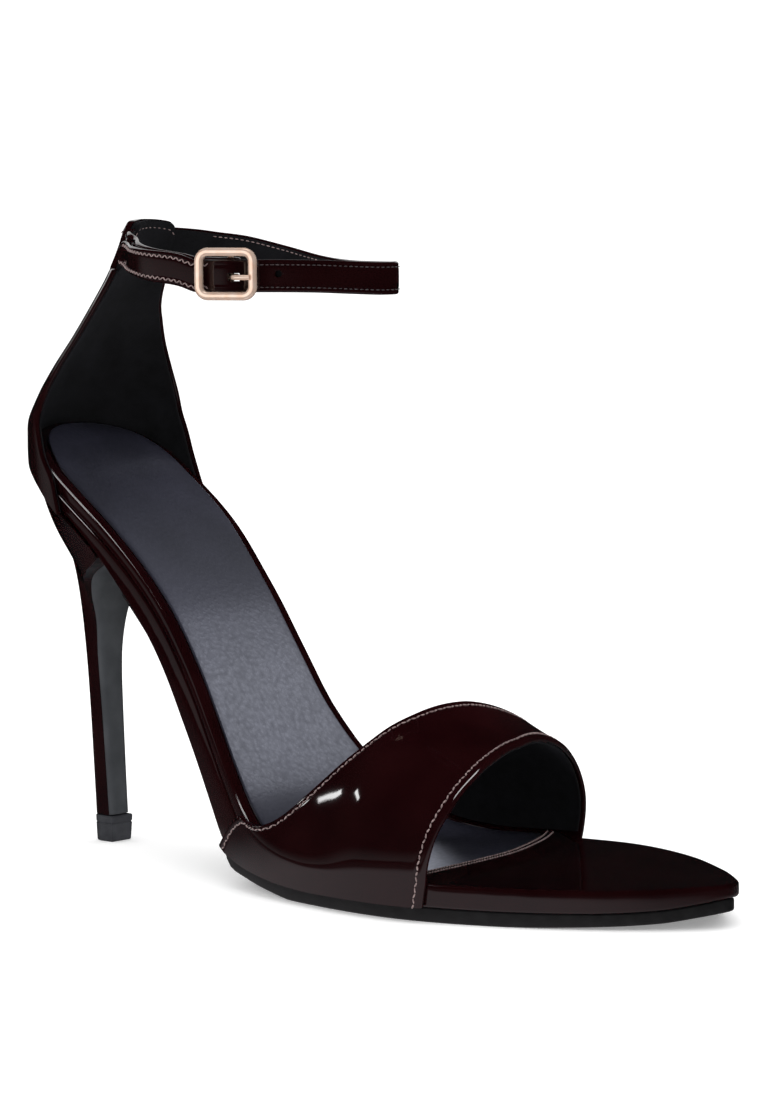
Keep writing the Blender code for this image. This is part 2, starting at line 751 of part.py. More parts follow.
def strap_route():
    """The strap's middle line: folded round the centre bar, once round the ankle and out through the buckle."""
    w, t = WRAP / MM, TAIL_OVER / MM
    layer = LAYER / MM
    fold = [by_buckle(*p) for p in (
        (-9.5, -w - 0.95), (-6.0, -w - 0.75), (-2.6, -w - 0.25), (0, -w), (0.72 * w, -0.72 * w), (w, 0),
        (0.70 * w, 0.72 * w), (0, w), (-1.6, 0.86 * w), (-3.4, 0.35 * w), (-5.6, -0.15 * w), (-8.5, -0.42 * w),
    )]
    base = [route_point(row) for row in BASE_ROUTE[1:]]
    bend = [route_point(row) for row in FRONT_BEND[1:]]
    outer = [route_point(row) for row in OUTER_ROUTE[1:]]
    window = [by_buckle(*p) for p in (
        (13.5, 0.35), (9.3, 0.7), (6.9, 1.1), (5.2, 1.6), (3.7, 2.5), (1.8, t - 0.2), (0, t), (-1.7, t - 0.2),
        (-3.5, 2.65), (-5.2, 1.75), (-6.9, 1.4), (-8.8, -0.42 * w + layer + 0.12),
    )]
    tail = tail_points()
    return through([*fold, *base, *bend, *outer, *window, *tail], 5)


def tail_points():
    """The tail lies one layer outside the base strap, to just past the side of the heel."""
    rows = [route_point(row) for row in BASE_ROUTE[1:7]]
    points = []
    for i, row in enumerate(rows[:5]):
        before, after = Vector(rows[max(i - 1, 0)]), Vector(rows[i + 1])
        run = after - before
        out = Vector((run.y, -run.x, 0)).normalized()
        if out.y > 0:
            out = -out
        points.append(tuple(Vector(row) + out * (LAYER + 0.05 * MM)))
    return points


def make_ribbon(name, line, finish, width=STRAP_WIDTH, thick=STRAP_THICK):
    """A flat strip that stands on edge along a line."""
    rings = []
    for i, here in enumerate(line):
        run = Vector(line[min(i + 1, len(line) - 1)]) - Vector(line[max(i - 1, 0)])
        out = Vector((run.y, -run.x, 0)).normalized() * thick / 2
        up = strap_up(here) * width / 2
        middle = Vector(here)
        soft = 0.82
        rings.append([
            tuple(middle + out * soft - up), tuple(middle + out - up * 0.93), tuple(middle + out + up * 0.93),
            tuple(middle + out * soft + up), tuple(middle - out * soft + up), tuple(middle - out + up * 0.93),
            tuple(middle - out - up * 0.93), tuple(middle - out * soft - up),
        ])
    points = [p for ring in rings for p in ring]
    count, faces = len(rings[0]), []
    for r in range(len(rings) - 1):
        for i in range(count):
            j = (i + 1) % count
            faces.append([r * count + i, r * count + j, (r + 1) * count + j, (r + 1) * count + i])
    last = (len(rings) - 1) * count
    faces.append(list(range(count)))
    faces.append([last + i for i in range(count)])
    return new_object(name, mesh_from(name, points, faces), finish)


def as_cutter(obj):
    obj.hide_render = True
    obj.display_type = "WIRE"
    return obj


def cut(obj, other, operation):
    change = obj.modifiers.new(other.name, "BOOLEAN")
    change.operation = operation
    change.solver = "EXACT"
    change.object = other


def casing_cutter():
    """The channel that the strap slides through, a gap larger than the strap all round."""
    line = through([route_point(row) for row in BASE_ROUTE[2:14]], 5)
    plain = bpy.data.materials["patent burgundy"]
    return as_cutter(make_ribbon("casing_channel", line, plain, STRAP_WIDTH + 2 * GAP, STRAP_THICK + 2 * GAP))


def rod(name, line, radius, finish, sides=10, squash=1.0):
    """A round bar along a line."""
    rings = []
    for i, here in enumerate(line):
        run = (Vector(line[min(i + 1, len(line) - 1)]) - Vector(line[max(i - 1, 0)])).normalized()
        side = run.cross(Vector((0, 0, 1)))
        if side.length < 0.2:
            side = run.cross(BUCKLE_RUN)
        side.normalize()
        up = side.cross(run)
        rings.append([
            tuple(Vector(here) + side * radius * squash * cos(2 * pi * k / sides) + up * radius * sin(2 * pi * k / sides))
            for k in range(sides)
        ])
    points = [p for ring in rings for p in ring]
    faces = []
    for r in range(len(rings) - 1):
        for i in range(sides):
            j = (i + 1) % sides
            faces.append([r * sides + i, r * sides + j, (r + 1) * sides + j, (r + 1) * sides + i])
    last = (len(rings) - 1) * sides
    faces.append(list(range(sides)))
    faces.append([last + i for i in range(sides)])
    return new_object(name, mesh_from(name, points, faces), finish)


EYE_RADIUS = 2.0             # millimetres, outside of the prong's eye round the centre bar
EYE_HALF = 0.75              # millimetres, half its width


def make_strap(finish):
    strap = make_ribbon("ankle_strap", strap_route(), finish)
    drop = -PRONG_DROP / MM
    slot = box_by_buckle("eye_slot", (-2.5, 3.4), (-3.6, WRAP / MM + 0.95), (drop - EYE_HALF - 0.35, drop + EYE_HALF + 0.35), finish)
    cut(strap, slot, "DIFFERENCE")
    pin = PRONG_RADIUS / MM + 0.35
    hole = box_by_buckle("prong_hole", (0.6, 3.5), (2.2, 7.0), (drop - pin, drop + pin), finish)
    cut(strap, hole, "DIFFERENCE")
    spare = rod("spare_hole", [by_buckle(HOLE_SPACING / MM + 2.2, out) for out in (-3, 4)], HOLE_RADIUS, finish)
    cut(strap, as_cutter(spare), "DIFFERENCE")
    return strap


def box_by_buckle(name, runs, outs, ups, finish):
    """A cutter square to the buckle, given in millimetres from its centre bar."""
    corners = [by_buckle(r, o, u) for u in ups for o in outs for r in runs]
    faces = [(0, 1, 3, 2), (4, 6, 7, 5), (0, 4, 5, 1), (2, 3, 7, 6), (0, 2, 6, 4), (1, 5, 7, 3)]
    return as_cutter(new_object(name, mesh_from(name, corners, faces), finish))


FRAME_OUT = 1.7 * MM + STRAP_THICK / 2 + GAP + BUCKLE_THICK / 2   # the frame's middle, out from the centre bar
PRONG_NOTCH = 0.7 * MM


def make_buckle_frame(finish):
    """A rounded rectangle with a centre bar set behind it, which the strap folds round."""
    sides = 10
    profile = []
    half_bar, half_thick = BUCKLE_BAR / 2, BUCKLE_THICK / 2
    for k in range(sides):
        turn = 2 * pi * (k + 0.5) / sides
        profile.append((half_bar * np.sign(cos(turn)) * abs(cos(turn)) ** 0.7, half_thick * np.sign(sin(turn)) * abs(sin(turn)) ** 0.7))
    corner = BUCKLE_CORNER - half_bar
    along, tall = BUCKLE_LENGTH / 2 - half_bar - corner, BUCKLE_HEIGHT / 2 - half_bar - corner
    path = []
    for quarter, (sx, sy) in enumerate(((1, 1), (-1, 1), (-1, -1), (1, -1))):
        for k in range(6):
            turn = pi / 2 * (quarter + k / 5)
            path.append((sx * along + corner * cos(turn), sy * tall + corner * sin(turn), cos(turn), sin(turn)))
    points, faces = [], []
    for run, up, nr, nu in path:
        for a, b in profile:
            points.append(by_buckle((run + nr * a) / MM, (FRAME_OUT + b) / MM, (up + nu * a) / MM))
    for i in range(len(path)):
        for k in range(sides):
            j, m = (i + 1) % len(path), (k + 1) % sides
            faces.append([i * sides + k, i * sides + m, j * sides + m, j * sides + k])
    frame = new_object("buckle_frame", mesh_from("buckle_frame", points, faces), finish)
    half = (BUCKLE_HEIGHT - BUCKLE_BAR) / 2 / MM
    out = FRAME_OUT / MM
    line = [by_buckle(0, out - 0.1, -half), by_buckle(0, 0.9, -half), by_buckle(0, 0.25, -half + 0.25)]
    line += [by_buckle(0, 0, -half + 0.9), by_buckle(0, 0, half - 0.9), by_buckle(0, 0.25, half - 0.25)]
    line += [by_buckle(0, 0.9, half), by_buckle(0, out - 0.1, half)]
    bar = as_cutter(rod("centre_bar", line, BAR_RADIUS, finish, 10))
    cut(frame, bar, "UNION")
    drop = -PRONG_DROP / MM
    notch_line = [by_buckle(run, FRAME_OUT / MM + BUCKLE_THICK / MM / 2 + PRONG_RADIUS / MM - PRONG_NOTCH / MM + 0.3, drop) for run in (4, 9)]
    notch = as_cutter(rod("prong_notch", notch_line, PRONG_RADIUS + 0.3 * MM, finish, 10))
    cut(frame, notch, "DIFFERENCE")
    return frame


def make_prong(finish):
    """The prong: an eye round the centre bar, then up through the strap and across to the frame."""
    drop = -PRONG_DROP / MM
    rest = FRAME_OUT / MM + BUCKLE_THICK / MM / 2 + PRONG_RADIUS / MM - PRONG_NOTCH / MM + 0.35
    line = through([
        by_buckle(0.9, 1.15, drop), by_buckle(1.5, 2.4, drop), by_buckle(2.0, 3.9, drop),
        by_buckle(2.7, rest - 0.1, drop), by_buckle(4.2, rest + 0.12, drop), by_buckle(6.3, rest, drop),
    ], 4)
    prong = rod("buckle_prong", [tuple(p) for p in line], PRONG_RADIUS, finish, 10)
    points, faces, sides = [], [], 16
    inner = BAR_RADIUS / MM + 0.3
    for radius, half in ((EYE_RADIUS, -EYE_HALF), (EYE_RADIUS, EYE_HALF), (inner, EYE_HALF), (inner, -EYE_HALF)):
        for k in range(sides):
            turn = 2 * pi * k / sides
            points.append(by_buckle(radius * cos(turn), radius * sin(turn), drop + half))
    for ring in range(4):
        for k in range(sides):
            j, after = (k + 1) % sides, (ring + 1) % 4
            faces.append([ring * sides + k, ring * sides + j, after * sides + j, after * sides + k])
    eye = as_cutter(new_object("prong_eye", mesh_from("prong_eye", points, faces), finish))
    cut(prong, eye, "UNION")
    return prong


def centre_on_origin():
    """Moves every mesh so that the origin lies under the middle of the sandal."""
    bpy.context.view_layer.update()
    solids = [o for o in bpy.data.objects if o.type == "MESH" and not o.hide_render]
    xs = [v.co.x for o in solids for v in o.data.vertices]
    ys = [v.co.y for o in solids for v in o.data.vertices]
    shift = Vector((-(min(xs) + max(xs)) / 2, -(min(ys) + max(ys)) / 2, 0))
    for obj in bpy.data.objects:
        if obj.type == "MESH":
            for vertex in obj.data.vertices:
                vertex.co += shift
    print("shift in millimetres:", round(shift.x / MM, 3), round(shift.y / MM, 3))


def main():
    clear_scene()
    patent = material("patent burgundy", BURGUNDY, 0.08)
    lining = material("smooth black lining", BLACK, 0.45)
    rubber = material("black rubber", BLACK, 0.6)
    satin = material("satin grey", GREY, 0.4)
    metal = material("rose gold plate", ROSE_GOLD, 0.2, 1.0)
    make_footbed(patent)
    make_sock_lining(lining)
    make_shank_cover(patent)
    make_outsole(rubber)
    make_heel(patent)
    make_heel_breast(satin)
    make_top_lift(satin)
    make_counter(patent)
    make_toe_band(patent)
    make_strap(patent)
    make_buckle_frame(metal)
    make_prong(metal)
    centre_on_origin()


main()
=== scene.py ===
from math import cos, hypot, pi, radians, sin, sqrt

import bmesh
import bpy
import numpy as np
from mathutils import Matrix, Vector


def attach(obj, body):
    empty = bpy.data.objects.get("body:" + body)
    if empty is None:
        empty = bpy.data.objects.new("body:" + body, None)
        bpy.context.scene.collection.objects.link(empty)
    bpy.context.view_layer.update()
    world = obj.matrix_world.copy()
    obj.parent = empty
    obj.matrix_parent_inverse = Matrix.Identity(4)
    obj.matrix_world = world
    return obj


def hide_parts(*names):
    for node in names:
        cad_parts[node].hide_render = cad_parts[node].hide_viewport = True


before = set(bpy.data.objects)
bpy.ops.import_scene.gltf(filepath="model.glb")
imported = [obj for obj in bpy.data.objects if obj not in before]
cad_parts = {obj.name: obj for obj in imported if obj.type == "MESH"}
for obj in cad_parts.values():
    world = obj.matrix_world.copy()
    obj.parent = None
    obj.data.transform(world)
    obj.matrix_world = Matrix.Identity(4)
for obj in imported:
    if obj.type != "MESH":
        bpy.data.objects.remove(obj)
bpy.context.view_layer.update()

MM = 0.001
SHIFT = Vector((-107.953, 2.643, 0)) * MM    # from the back of the footbed to the CAD's origin

# Sizes of the CAD
LENGTH = 218 * MM
HEEL_RISE = 109 * MM
BALL_LATERAL = 41.5 * MM
BALL_MEDIAL = 37.8 * MM
SEAT_HALF = 24.2 * MM
TOE_SPRING = 3.6 * MM
FOOTBED = 5.3 * MM
OUTSOLE = 3.4 * MM
LINING = 0.8 * MM
COUNTER_WALL = 1.8 * MM
BAND_WALL = 1.7 * MM
STRAP_THICK = 1.5 * MM
BREAST_THICK = 0.8 * MM
GAP = 0.3 * MM
LINING_INSET = 3.2 * MM
WRAP_EDGE = 0.9 * MM         # radius of the sole's wrapped edges
OUTSOLE_INSET = 1.0 * MM
WAIST_INSET = 4.5 * MM
LIFT_HEIGHT = 6.8 * MM
STEM_LENGTH = 6.4 * MM
STEM_HALF = 3.5 * MM
STEM_BACK = 12.0 * MM
HEEL_TOP_LENGTH = 36 * MM
COUNTER_RISE = 53 * MM
COUNTER_HALF = 26.5 * MM
CASING_SKIN = 1.1 * MM
CASING_DROP = 1.2 * MM
CASING_LATERAL = 30
CASING_MEDIAL = 36
BAND_RISE = 45 * MM
STRAP_WIDTH = 8 * MM
STRAP_TOP = 160 * MM
LOOP_LENGTH = 84.9 * MM
LOOP_HALF = 24.8 * MM
LOOP_BACK = 29.6 * MM
BUCKLE_LENGTH = 16 * MM
BUCKLE_HEIGHT = 12.9 * MM
BUCKLE_BAR = 2.1 * MM
BUCKLE_THICK = 2 * MM
BUCKLE_CORNER = 3.4 * MM
BAR_RADIUS = 0.8 * MM
PRONG_RADIUS = 0.65 * MM
PRONG_DROP = 0.8 * MM
HOLE_RADIUS = 0.9 * MM
HOLE_SPACING = 10.5 * MM


# Curves and meshes
CURVE_STEPS = 2000           # steps along a softened curve
MERGE = 2e7                  # points that are the same when rounded to 1/MERGE metres become one
ARC_TURNS = (25, 50, 75)     # degrees at the points of a quarter arc
NO_LENGTH = 1e-9             # two points closer than this count as this far apart


def column(table, name):
    """One named column of a table whose first row holds the names."""
    at = table[0].index(name)
    return [row[at] for row in table[1:]]


def smooth(xs, ys, soften=0.012):
    """A monotone cubic through the points, then softened so that a gloss shows no kink at a point."""
    xs, ys = np.array(xs, float), np.array(ys, float)
    step = np.diff(xs)
    rise = np.diff(ys) / step
    slope = np.zeros(len(xs))
    for i in range(1, len(xs) - 1):
        if rise[i - 1] * rise[i] > 0:
            before, after = 2 * step[i] + step[i - 1], step[i] + 2 * step[i - 1]
            slope[i] = (before + after) / (before / rise[i - 1] + after / rise[i])
    slope[0], slope[-1] = rise[0], rise[-1]
    fine = np.linspace(xs[0], xs[-1], CURVE_STEPS + 1)
    at = np.clip(np.searchsorted(xs, fine, side="right") - 1, 0, len(step) - 1)
    t = (fine - xs[at]) / step[at]
    values = (
        ys[at] * (1 + 2 * t) * (1 - t) ** 2
        + slope[at] * step[at] * t * (1 - t) ** 2
        + ys[at + 1] * t * t * (3 - 2 * t)
        + slope[at + 1] * step[at] * t * t * (t - 1)
    )
    reach = int(soften * CURVE_STEPS)
    if reach:
        kernel = np.hanning(2 * reach + 3)[1:-1]
        padded = np.pad(values, reach, mode="reflect", reflect_type="odd")
        values = np.convolve(padded, kernel / kernel.sum(), mode="valid")
    return lambda x: float(np.interp(x, fine, values))


def curve(table, name, soften=0.012):
    """The smooth curve of one named column of a table over its first column."""
    return smooth(column(table, table[0][0]), column(table, name), soften)


def through(points, per_segment, closed=False):
    """A smooth line through points (centripetal spacing), with this many steps between each two."""
    points = [np.array(p, float) for p in points]
    if closed:
        points = [points[-1], *points, points[0], points[1]]
    else:
        points = [2 * points[0] - points[1], *points, 2 * points[-1] - points[-2]]
    line = []
    for a, b, c, d in zip(points, points[1:], points[2:], points[3:]):
        times = [0.0]
        for p, q in ((a, b), (b, c), (c, d)):
            times.append(times[-1] + max(np.linalg.norm(q - p), NO_LENGTH) ** 0.5)
        ta, tb, tc, td = times
        for k in range(per_segment):
            t = tb + (tc - tb) * k / per_segment
            ab = a + (b - a) * (t - ta) / (tb - ta)
            bc = b + (c - b) * (t - tb) / (tc - tb)
            cd = c + (d - c) * (t - tc) / (td - tc)
            left = ab + (bc - ab) * (t - ta) / (tc - ta)
            right = bc + (cd - bc) * (t - tb) / (td - tb)
            line.append(left + (right - left) * (t - tb) / (tc - tb))
    if not closed:
        line.append(points[-2])
    return np.array(line)


def step_between(x, low, high):
    """0 below low, 1 above high, with a soft change between."""
    t = min(max((x - low) / (high - low), 0), 1)
    return t * t * (3 - 2 * t)


def put(name, data):
    """A new object of the scene."""
    made = bpy.data.objects.new(name, data)
    bpy.context.scene.collection.objects.link(made)
    return made


def piece(name, points, faces, finish, crease=45):
    """A piece from points given from the back of the footbed: same points merged, faces out, smooth."""
    made = bmesh.new()
    index, keys, verts = [], {}, []
    for point in points:
        key = tuple(round(c * MERGE) for c in point)
        if key not in keys:
            keys[key] = len(verts)
            verts.append(made.verts.new(Vector(point) + SHIFT))
        index.append(keys[key])
    for face in faces:
        loop = []
        for corner in face:
            if index[corner] not in loop:
                loop.append(index[corner])
        if len(loop) > 2:
            made.faces.new([verts[i] for i in loop])
    bmesh.ops.recalc_face_normals(made, faces=made.faces)
    mesh = bpy.data.meshes.new(name)
    made.to_mesh(mesh)
    made.free()
    mesh.shade_smooth()
    mesh.set_sharp_from_angle(angle=radians(crease))
    mesh.materials.append(finish)
    return put(name, mesh)


def around_grid(rows, columns):
    """The boundary of a grid as (row, column) pairs, once round."""
    down = [(r, 0) for r in range(rows)] + [(rows - 1, c) for c in range(1, columns)]
    up = [(r, columns - 1) for r in range(rows - 2, -1, -1)] + [(0, c) for c in range(columns - 2, 0, -1)]
    return down + up


def closed_grid(name, outer, inner, finish, rims=(), crease=45):
    """A wall between two grids of points, closed round its edge through further loops of points."""
    rows, columns = len(outer), len(outer[0])
    points = [p for row in outer for p in row] + [p for row in inner for p in row]
    loop = around_grid(rows, columns)
    at = lambda r, c, sheet: sheet * rows * columns + r * columns + c
    faces = []
    for r in range(rows - 1):
        for c in range(columns - 1):
            for sheet in (0, 1):
                corners = [at(r, c, sheet), at(r, c + 1, sheet), at(r + 1, c + 1, sheet), at(r + 1, c, sheet)]
                faces.append(corners if sheet else corners[::-1])
    rings = [[at(r, c, 0) for r, c in loop]]
    for rim in rims:
        rings.append([len(points) + i for i in range(len(rim))])
        points.extend(rim)
    rings.append([at(r, c, 1) for r, c in loop])
    for first, second in zip(rings, rings[1:]):
        for i in range(len(loop)):
            j = (i + 1) % len(loop)
            faces.append([first[i], first[j], second[j], second[i]])
    return piece(name, points, faces, finish, crease)


def ring_faces(rings, count, closed=False):
    """Faces between rings of count points each; closed joins the last ring to the first."""
    faces = []
    for r in range(rings if closed else rings - 1):
        for i in range(count):
            after, j = (r + 1) % rings, (i + 1) % count
            faces.append([r * count + i, r * count + j, after * count + j, after * count + i])
    return faces


def tube(name, rings, finish, crease=45):
    """A closed body through rings of points; its ends are closed by one face each."""
    points = [p for ring in rings for p in ring]
    count, last = len(rings[0]), len(points) - len(rings[0])
    ends = [list(range(count)), [last + i for i in range(count)]]
    return piece(name, points, ring_faces(len(rings), count) + ends, finish, crease)


# Sole: the CAD's tables
PROFILE = (
    ("x", "top", "under", "outsole"),
    (0.000, 1.000, 0.983, 0.960),
    (0.046, 0.958, 0.938, 0.915),
    (0.110, 0.860, 0.837, 0.814),
    (0.165, 0.772, 0.735, 0.712),
    (0.206, 0.698, 0.641, 0.619),
    (0.252, 0.604, 0.523, 0.500),
    (0.280, 0.541, 0.438, 0.413),
    (0.307, 0.470, 0.345, 0.320),
    (0.335, 0.392, 0.252, 0.226),
    (0.362, 0.308, 0.161, 0.134),
    (0.378, 0.260, 0.108, 0.083),
    (0.390, 0.223, 0.072, 0.052),
    (0.404, 0.185, 0.050, 0.038),
    (0.431, 0.118, 0.033, 0.028),
    (0.459, 0.070, 0.022, 0.019),
    (0.491, 0.034, 0.012, 0.009),
    (0.528, 0.011, 0.004, 0.000),
    (0.580, 0.000, 0.000, 0.000),
    (1.000, 0.000, 0.000, 0.000),
)
SPRING = (
    ("x", "top", "under", "outsole"),
    (0.000, 0.00, 0.00, 0.00),
    (0.800, 0.00, 0.00, 0.00),
    (0.885, 0.03, 0.05, 0.15),
    (0.945, 0.15, 0.28, 0.42),
    (0.980, 0.30, 0.70, 0.85),
    (1.000, 0.40, 1.05, 1.15),
)
BOARD = (("x", "thick"), (0.0, 0.76), (0.2, 0.72), (0.3, 0.88), (0.4, 1.0), (1.0, 1.0))
OUTLINE = (
    ("x", "lateral", "medial"),
    (0.120, 0.582, 0.636),
    (0.180, 0.578, 0.620),
    (0.250, 0.578, 0.530),
    (0.310, 0.625, 0.465),
    (0.360, 0.690, 0.450),
    (0.410, 0.772, 0.545),
    (0.473, 0.885, 0.665),
    (0.586, 0.988, 0.850),
    (0.676, 1.000, 0.985),
    (0.743, 0.932, 1.010),
    (0.833, 0.742, 0.855),
    (0.923, 0.445, 0.520),
    (0.968, 0.245, 0.280),
    (0.992, 0.110, 0.120),
)
RISE = HEEL_RISE - FOOTBED - GAP - OUTSOLE


def height(name, base):
    """A height along the sole: the heel's rise, the toe's upturn and what lies under it at the forefoot."""
    lift, spring = curve(PROFILE, name), curve(SPRING, name, 0.006)
    return lambda x: base + RISE * lift(x / LENGTH) + TOE_SPRING * spring(x / LENGTH)


footbed_top = height("top", OUTSOLE + GAP + FOOTBED)
shank_under = height("under", OUTSOLE + GAP)
outsole_under = height("outsole", 0)
board = curve(BOARD, "thick")


def footbed_under(x):
    """Underside of the footbed's board, which thins where the shank's wrap takes over."""
    return max(footbed_top(x) - FOOTBED * board(x / LENGTH), shank_under(x))


def outline_points():
    """The footbed's closed outline in plan: a round seat, the lateral side, the toe and the medial side."""
    seat = [(SEAT_HALF * (1 - cos(radians(a))), SEAT_HALF * sin(radians(a))) for a in ARC_TURNS]
    lateral = [(x, -y) for x, y in seat] + [(LENGTH * x, -BALL_LATERAL * w) for x, w, _ in OUTLINE[1:]]
    medial = seat + [(LENGTH * x, BALL_MEDIAL * w) for x, _, w in OUTLINE[1:]]
    return [(0, 0), *lateral, (LENGTH, 0), *medial[::-1]]


EDGE = through(outline_points(), 36, closed=True)
SIDES = {}                   # half-outlines already worked out, by the millimetres they are moved inwards
EDGE_TURNS = (25, 50, 70, 90)    # degrees round a sole layer's rounded edge
CROWDING = 0.9               # how strongly a sole layer's rows crowd towards its ends


def side_of(inset, side):
    """One half-outline after moving the outline inwards by inset millimetres, as x and half-width."""
    if inset not in SIDES:
        ahead = np.roll(EDGE, -1, axis=0) - np.roll(EDGE, 1, axis=0)
        ahead /= np.linalg.norm(ahead, axis=1)[:, None]
        moved = EDGE + inset * MM * np.stack([-ahead[:, 1], ahead[:, 0]], axis=1)
        toe = len(EDGE) // 2
        halves = moved[: toe + 1], np.vstack([moved[toe:], moved[:1]])[::-1]
        SIDES[inset] = [(np.maximum.accumulate(half[:, 0]), np.abs(half[:, 1])) for half in halves]
    return SIDES[inset][side]


def half_width(x, side, inset=0.0):
    """Half-width of the inset outline at x; side 0 is lateral and 1 is medial."""
    share = inset / MM * 2
    low = int(np.floor(share))
    widths = [float(np.interp(x, *side_of((low + k) / 2, side))) for k in (0, 1)]
    return widths[0] + (widths[1] - widths[0]) * (share - low)


def sole_layer(name, finish, start, end, top, under, inset, rounding, rows=120, columns=21):
    """A layer of the sole between two edges across it, each a function of the share across."""

    def place(t, across, extra):
        x0, x1 = start(across) + extra, end(across) - extra
        x = x0 + (x1 - x0) * (t - CROWDING * sin(2 * pi * t) / (2 * pi))
        lateral, medial = (half_width(x, side, inset(x) + extra) for side in (0, 1))
        return x, -lateral + across * (lateral + medial)

    ts = [r / (rows - 1) for r in range(rows)]
    acrosses = [c / (columns - 1) for c in range(columns)]
    plan = [[(*place(t, a, rounding), a) for a in acrosses] for t in ts]
    upper = [[(x, y, top(x, a)) for x, y, a in row] for row in plan]
    lower = [[(x, y, under(x, a)) for x, y, a in row] for row in plan]
    rims = []
    for half, turns in ((0, EDGE_TURNS), (1, EDGE_TURNS[::-1])):
        for turn in turns:
            extra = rounding * (1 - sin(radians(turn)))
            fall = 1 - cos(radians(turn))
            rim = []
            for r, c in around_grid(rows, columns):
                x, y = place(ts[r], acrosses[c], extra)
                high, low = top(x, acrosses[c]), under(x, acrosses[c])
                drop = min(rounding, (high - low) / 2) * fall
                rim.append((x, y, low + drop if half else high - drop))
            rims.append(rim)
    return closed_grid(name, upper, lower, finish, rims, 50)


SEAM = (("across", "x"), (0.0, 0.700), (0.5, 0.684), (0.8, 0.652), (1.0, 0.620))
seam_share = curve(SEAM, "x", 0.05)
COVER_SKIN = 0.15 * MM       # how far the toe cover stands above the footbed
COVER_FOLD = 0.45 * MM       # how far its folded edge stands above the lining
COVER_LIP = 0.5 * MM         # over which that edge comes up from the seam
COVER_FLAT = 1.0 * MM        # from the seam to where it starts to come down
COVER_SLOPE = 9 * MM         # and to where it is down on the footbed


def seam(across):
    return seam_share(across) * LENGTH


def cover_top(x, across):
    """Top of the toe cover: a fold on the lining's edge that comes down towards the toe."""
    ahead = x - seam(across)
    fold = 1 - step_between(ahead, COVER_FLAT, COVER_SLOPE)
    lip = 1 - step_between(-ahead, 0, COVER_LIP)
    return footbed_top(x) + COVER_SKIN + (GAP + LINING + COVER_FOLD - COVER_SKIN) * fold * lip


# Heel: the CAD's tables
HEEL = (
    ("up", "back", "front", "half", "round"),
    (0.000, 0.000, 0.000, 0.000, 0.50),
    (0.150, 0.058, -0.039, 0.007, 0.50),
    (0.285, 0.115, -0.072, 0.014, 0.51),
    (0.410, 0.178, -0.102, 0.023, 0.51),
    (0.534, 0.269, -0.131, 0.038, 0.52),
    (0.610, 0.348, -0.138, 0.054, 0.54),
    (0.670, 0.430, -0.138, 0.076, 0.55),
    (0.720, 0.518, -0.138, 0.108, 0.57),
    (0.765, 0.614, -0.137, 0.156, 0.59),
    (0.805, 0.698, -0.107, 0.233, 0.61),
    (0.840, 0.773, -0.056, 0.330, 0.63),
    (0.870, 0.826, 0.015, 0.439, 0.65),
    (0.900, 0.865, 0.140, 0.570, 0.68),
    (0.925, 0.895, 0.323, 0.690, 0.71),
    (0.944, 0.920, 0.507, 0.780, 0.73),
    (0.965, 0.950, 0.723, 0.866, 0.76),
    (0.985, 0.979, 0.883, 0.942, 0.78),
    (1.000, 1.000, 1.000, 1.000, 0.80),
)
SEAT_FLUSH = COUNTER_WALL + GAP - 0.2 * MM
SIDE_FLUSH, SIDE_EASE = 0.9, 0.4    # of the top's length: where its side leaves the counter's, and over what
SEATED = 0.955               # the heel's side follows the seat's outline above this share of its height
FLARE_GROWS, FLARE_ENDS = (0.60, 0.80), (0.84, 0.97)    # shares of the height
FLARE_AHEAD = 0.05           # how far the flare's front comes forward, of the way to the top's front
FLARE_IN = 0.08              # and how much narrower it is there, from FLARE_SIDE of the depth forwards
FLARE_SIDE = 0.4
PANEL_INSET = 0.15 * MM      # the front panel from the heel's side
PANEL_NARROW = 0.24          # how much narrower the panel gets, over PANEL_TAPER of the height
PANEL_TAPER = (0.79, 0.93)
PANEL_STEPS, PANEL_SQUARE = 12, 8    # steps across it, and how square its edges are
PANEL_EDGE, PANEL_CROWN = 0.05 * MM, 0.2 * MM    # its thickness at its edge, and the middle's over the CAD's
heel_back, heel_front, heel_half, heel_round = (curve(HEEL, name, 0.01) for name in HEEL[0][1:])


def heel_top_half(x, side):
    """Half-width of the heel's top: flush with the counter at the back and with the shank in front."""
    share = min(max((HEEL_TOP_LENGTH * SIDE_FLUSH - x) / (HEEL_TOP_LENGTH * SIDE_EASE), 0), 1)
    return half_width(x, side) + SEAT_FLUSH * share


def heel_section(up, count=24):
    """One closed ring of the heel, from the lateral front corner round the back to the medial one."""
    back, front, half, rounding = heel_back(up), heel_front(up), heel_half(up), heel_round(up)
    top_back, top_front = -SEAT_FLUSH, HEEL_TOP_LENGTH
    x_back = STEM_BACK + (top_back - STEM_BACK) * back
    stem_front = STEM_BACK + STEM_LENGTH
    flare = step_between(up, *FLARE_GROWS) * (1 - step_between(up, *FLARE_ENDS))
    x_front = stem_front + (top_front - stem_front) * (front + FLARE_AHEAD * flare)
    seated = step_between(up, SEATED, 1)
    ring = []
    for side, sign, order in ((0, -1, range(count, 0, -1)), (1, 1, range(0, count + 1))):
        for k in order:
            share = 1 - cos(pi / 2 * k / count)
            top_x = top_back + (top_front - top_back) * share
            x = x_back + (x_front - x_back) * share
            reach = sqrt(max(1 - (1 - min(share / rounding, 1)) ** 2, 0))
            seat = SEAT_HALF * reach
            if k:
                seat += (heel_top_half(top_x, side) - seat) * seated
            y = STEM_HALF * reach + (seat - STEM_HALF * reach) * half
            y *= 1 - FLARE_IN * flare * step_between(share, FLARE_SIDE, 1)
            roof = shank_under(max(top_x, 0)) - GAP
            foot = LIFT_HEIGHT + GAP
            ring.append((x, sign * y, foot + (roof - foot) * up))
    return ring


def heel_levels(last):
    """Shares of the heel's height for its rings, closer together where it flares."""
    return [0.0, *np.linspace(0.004, 0.6, 26), *np.linspace(0.62, last, 46)]


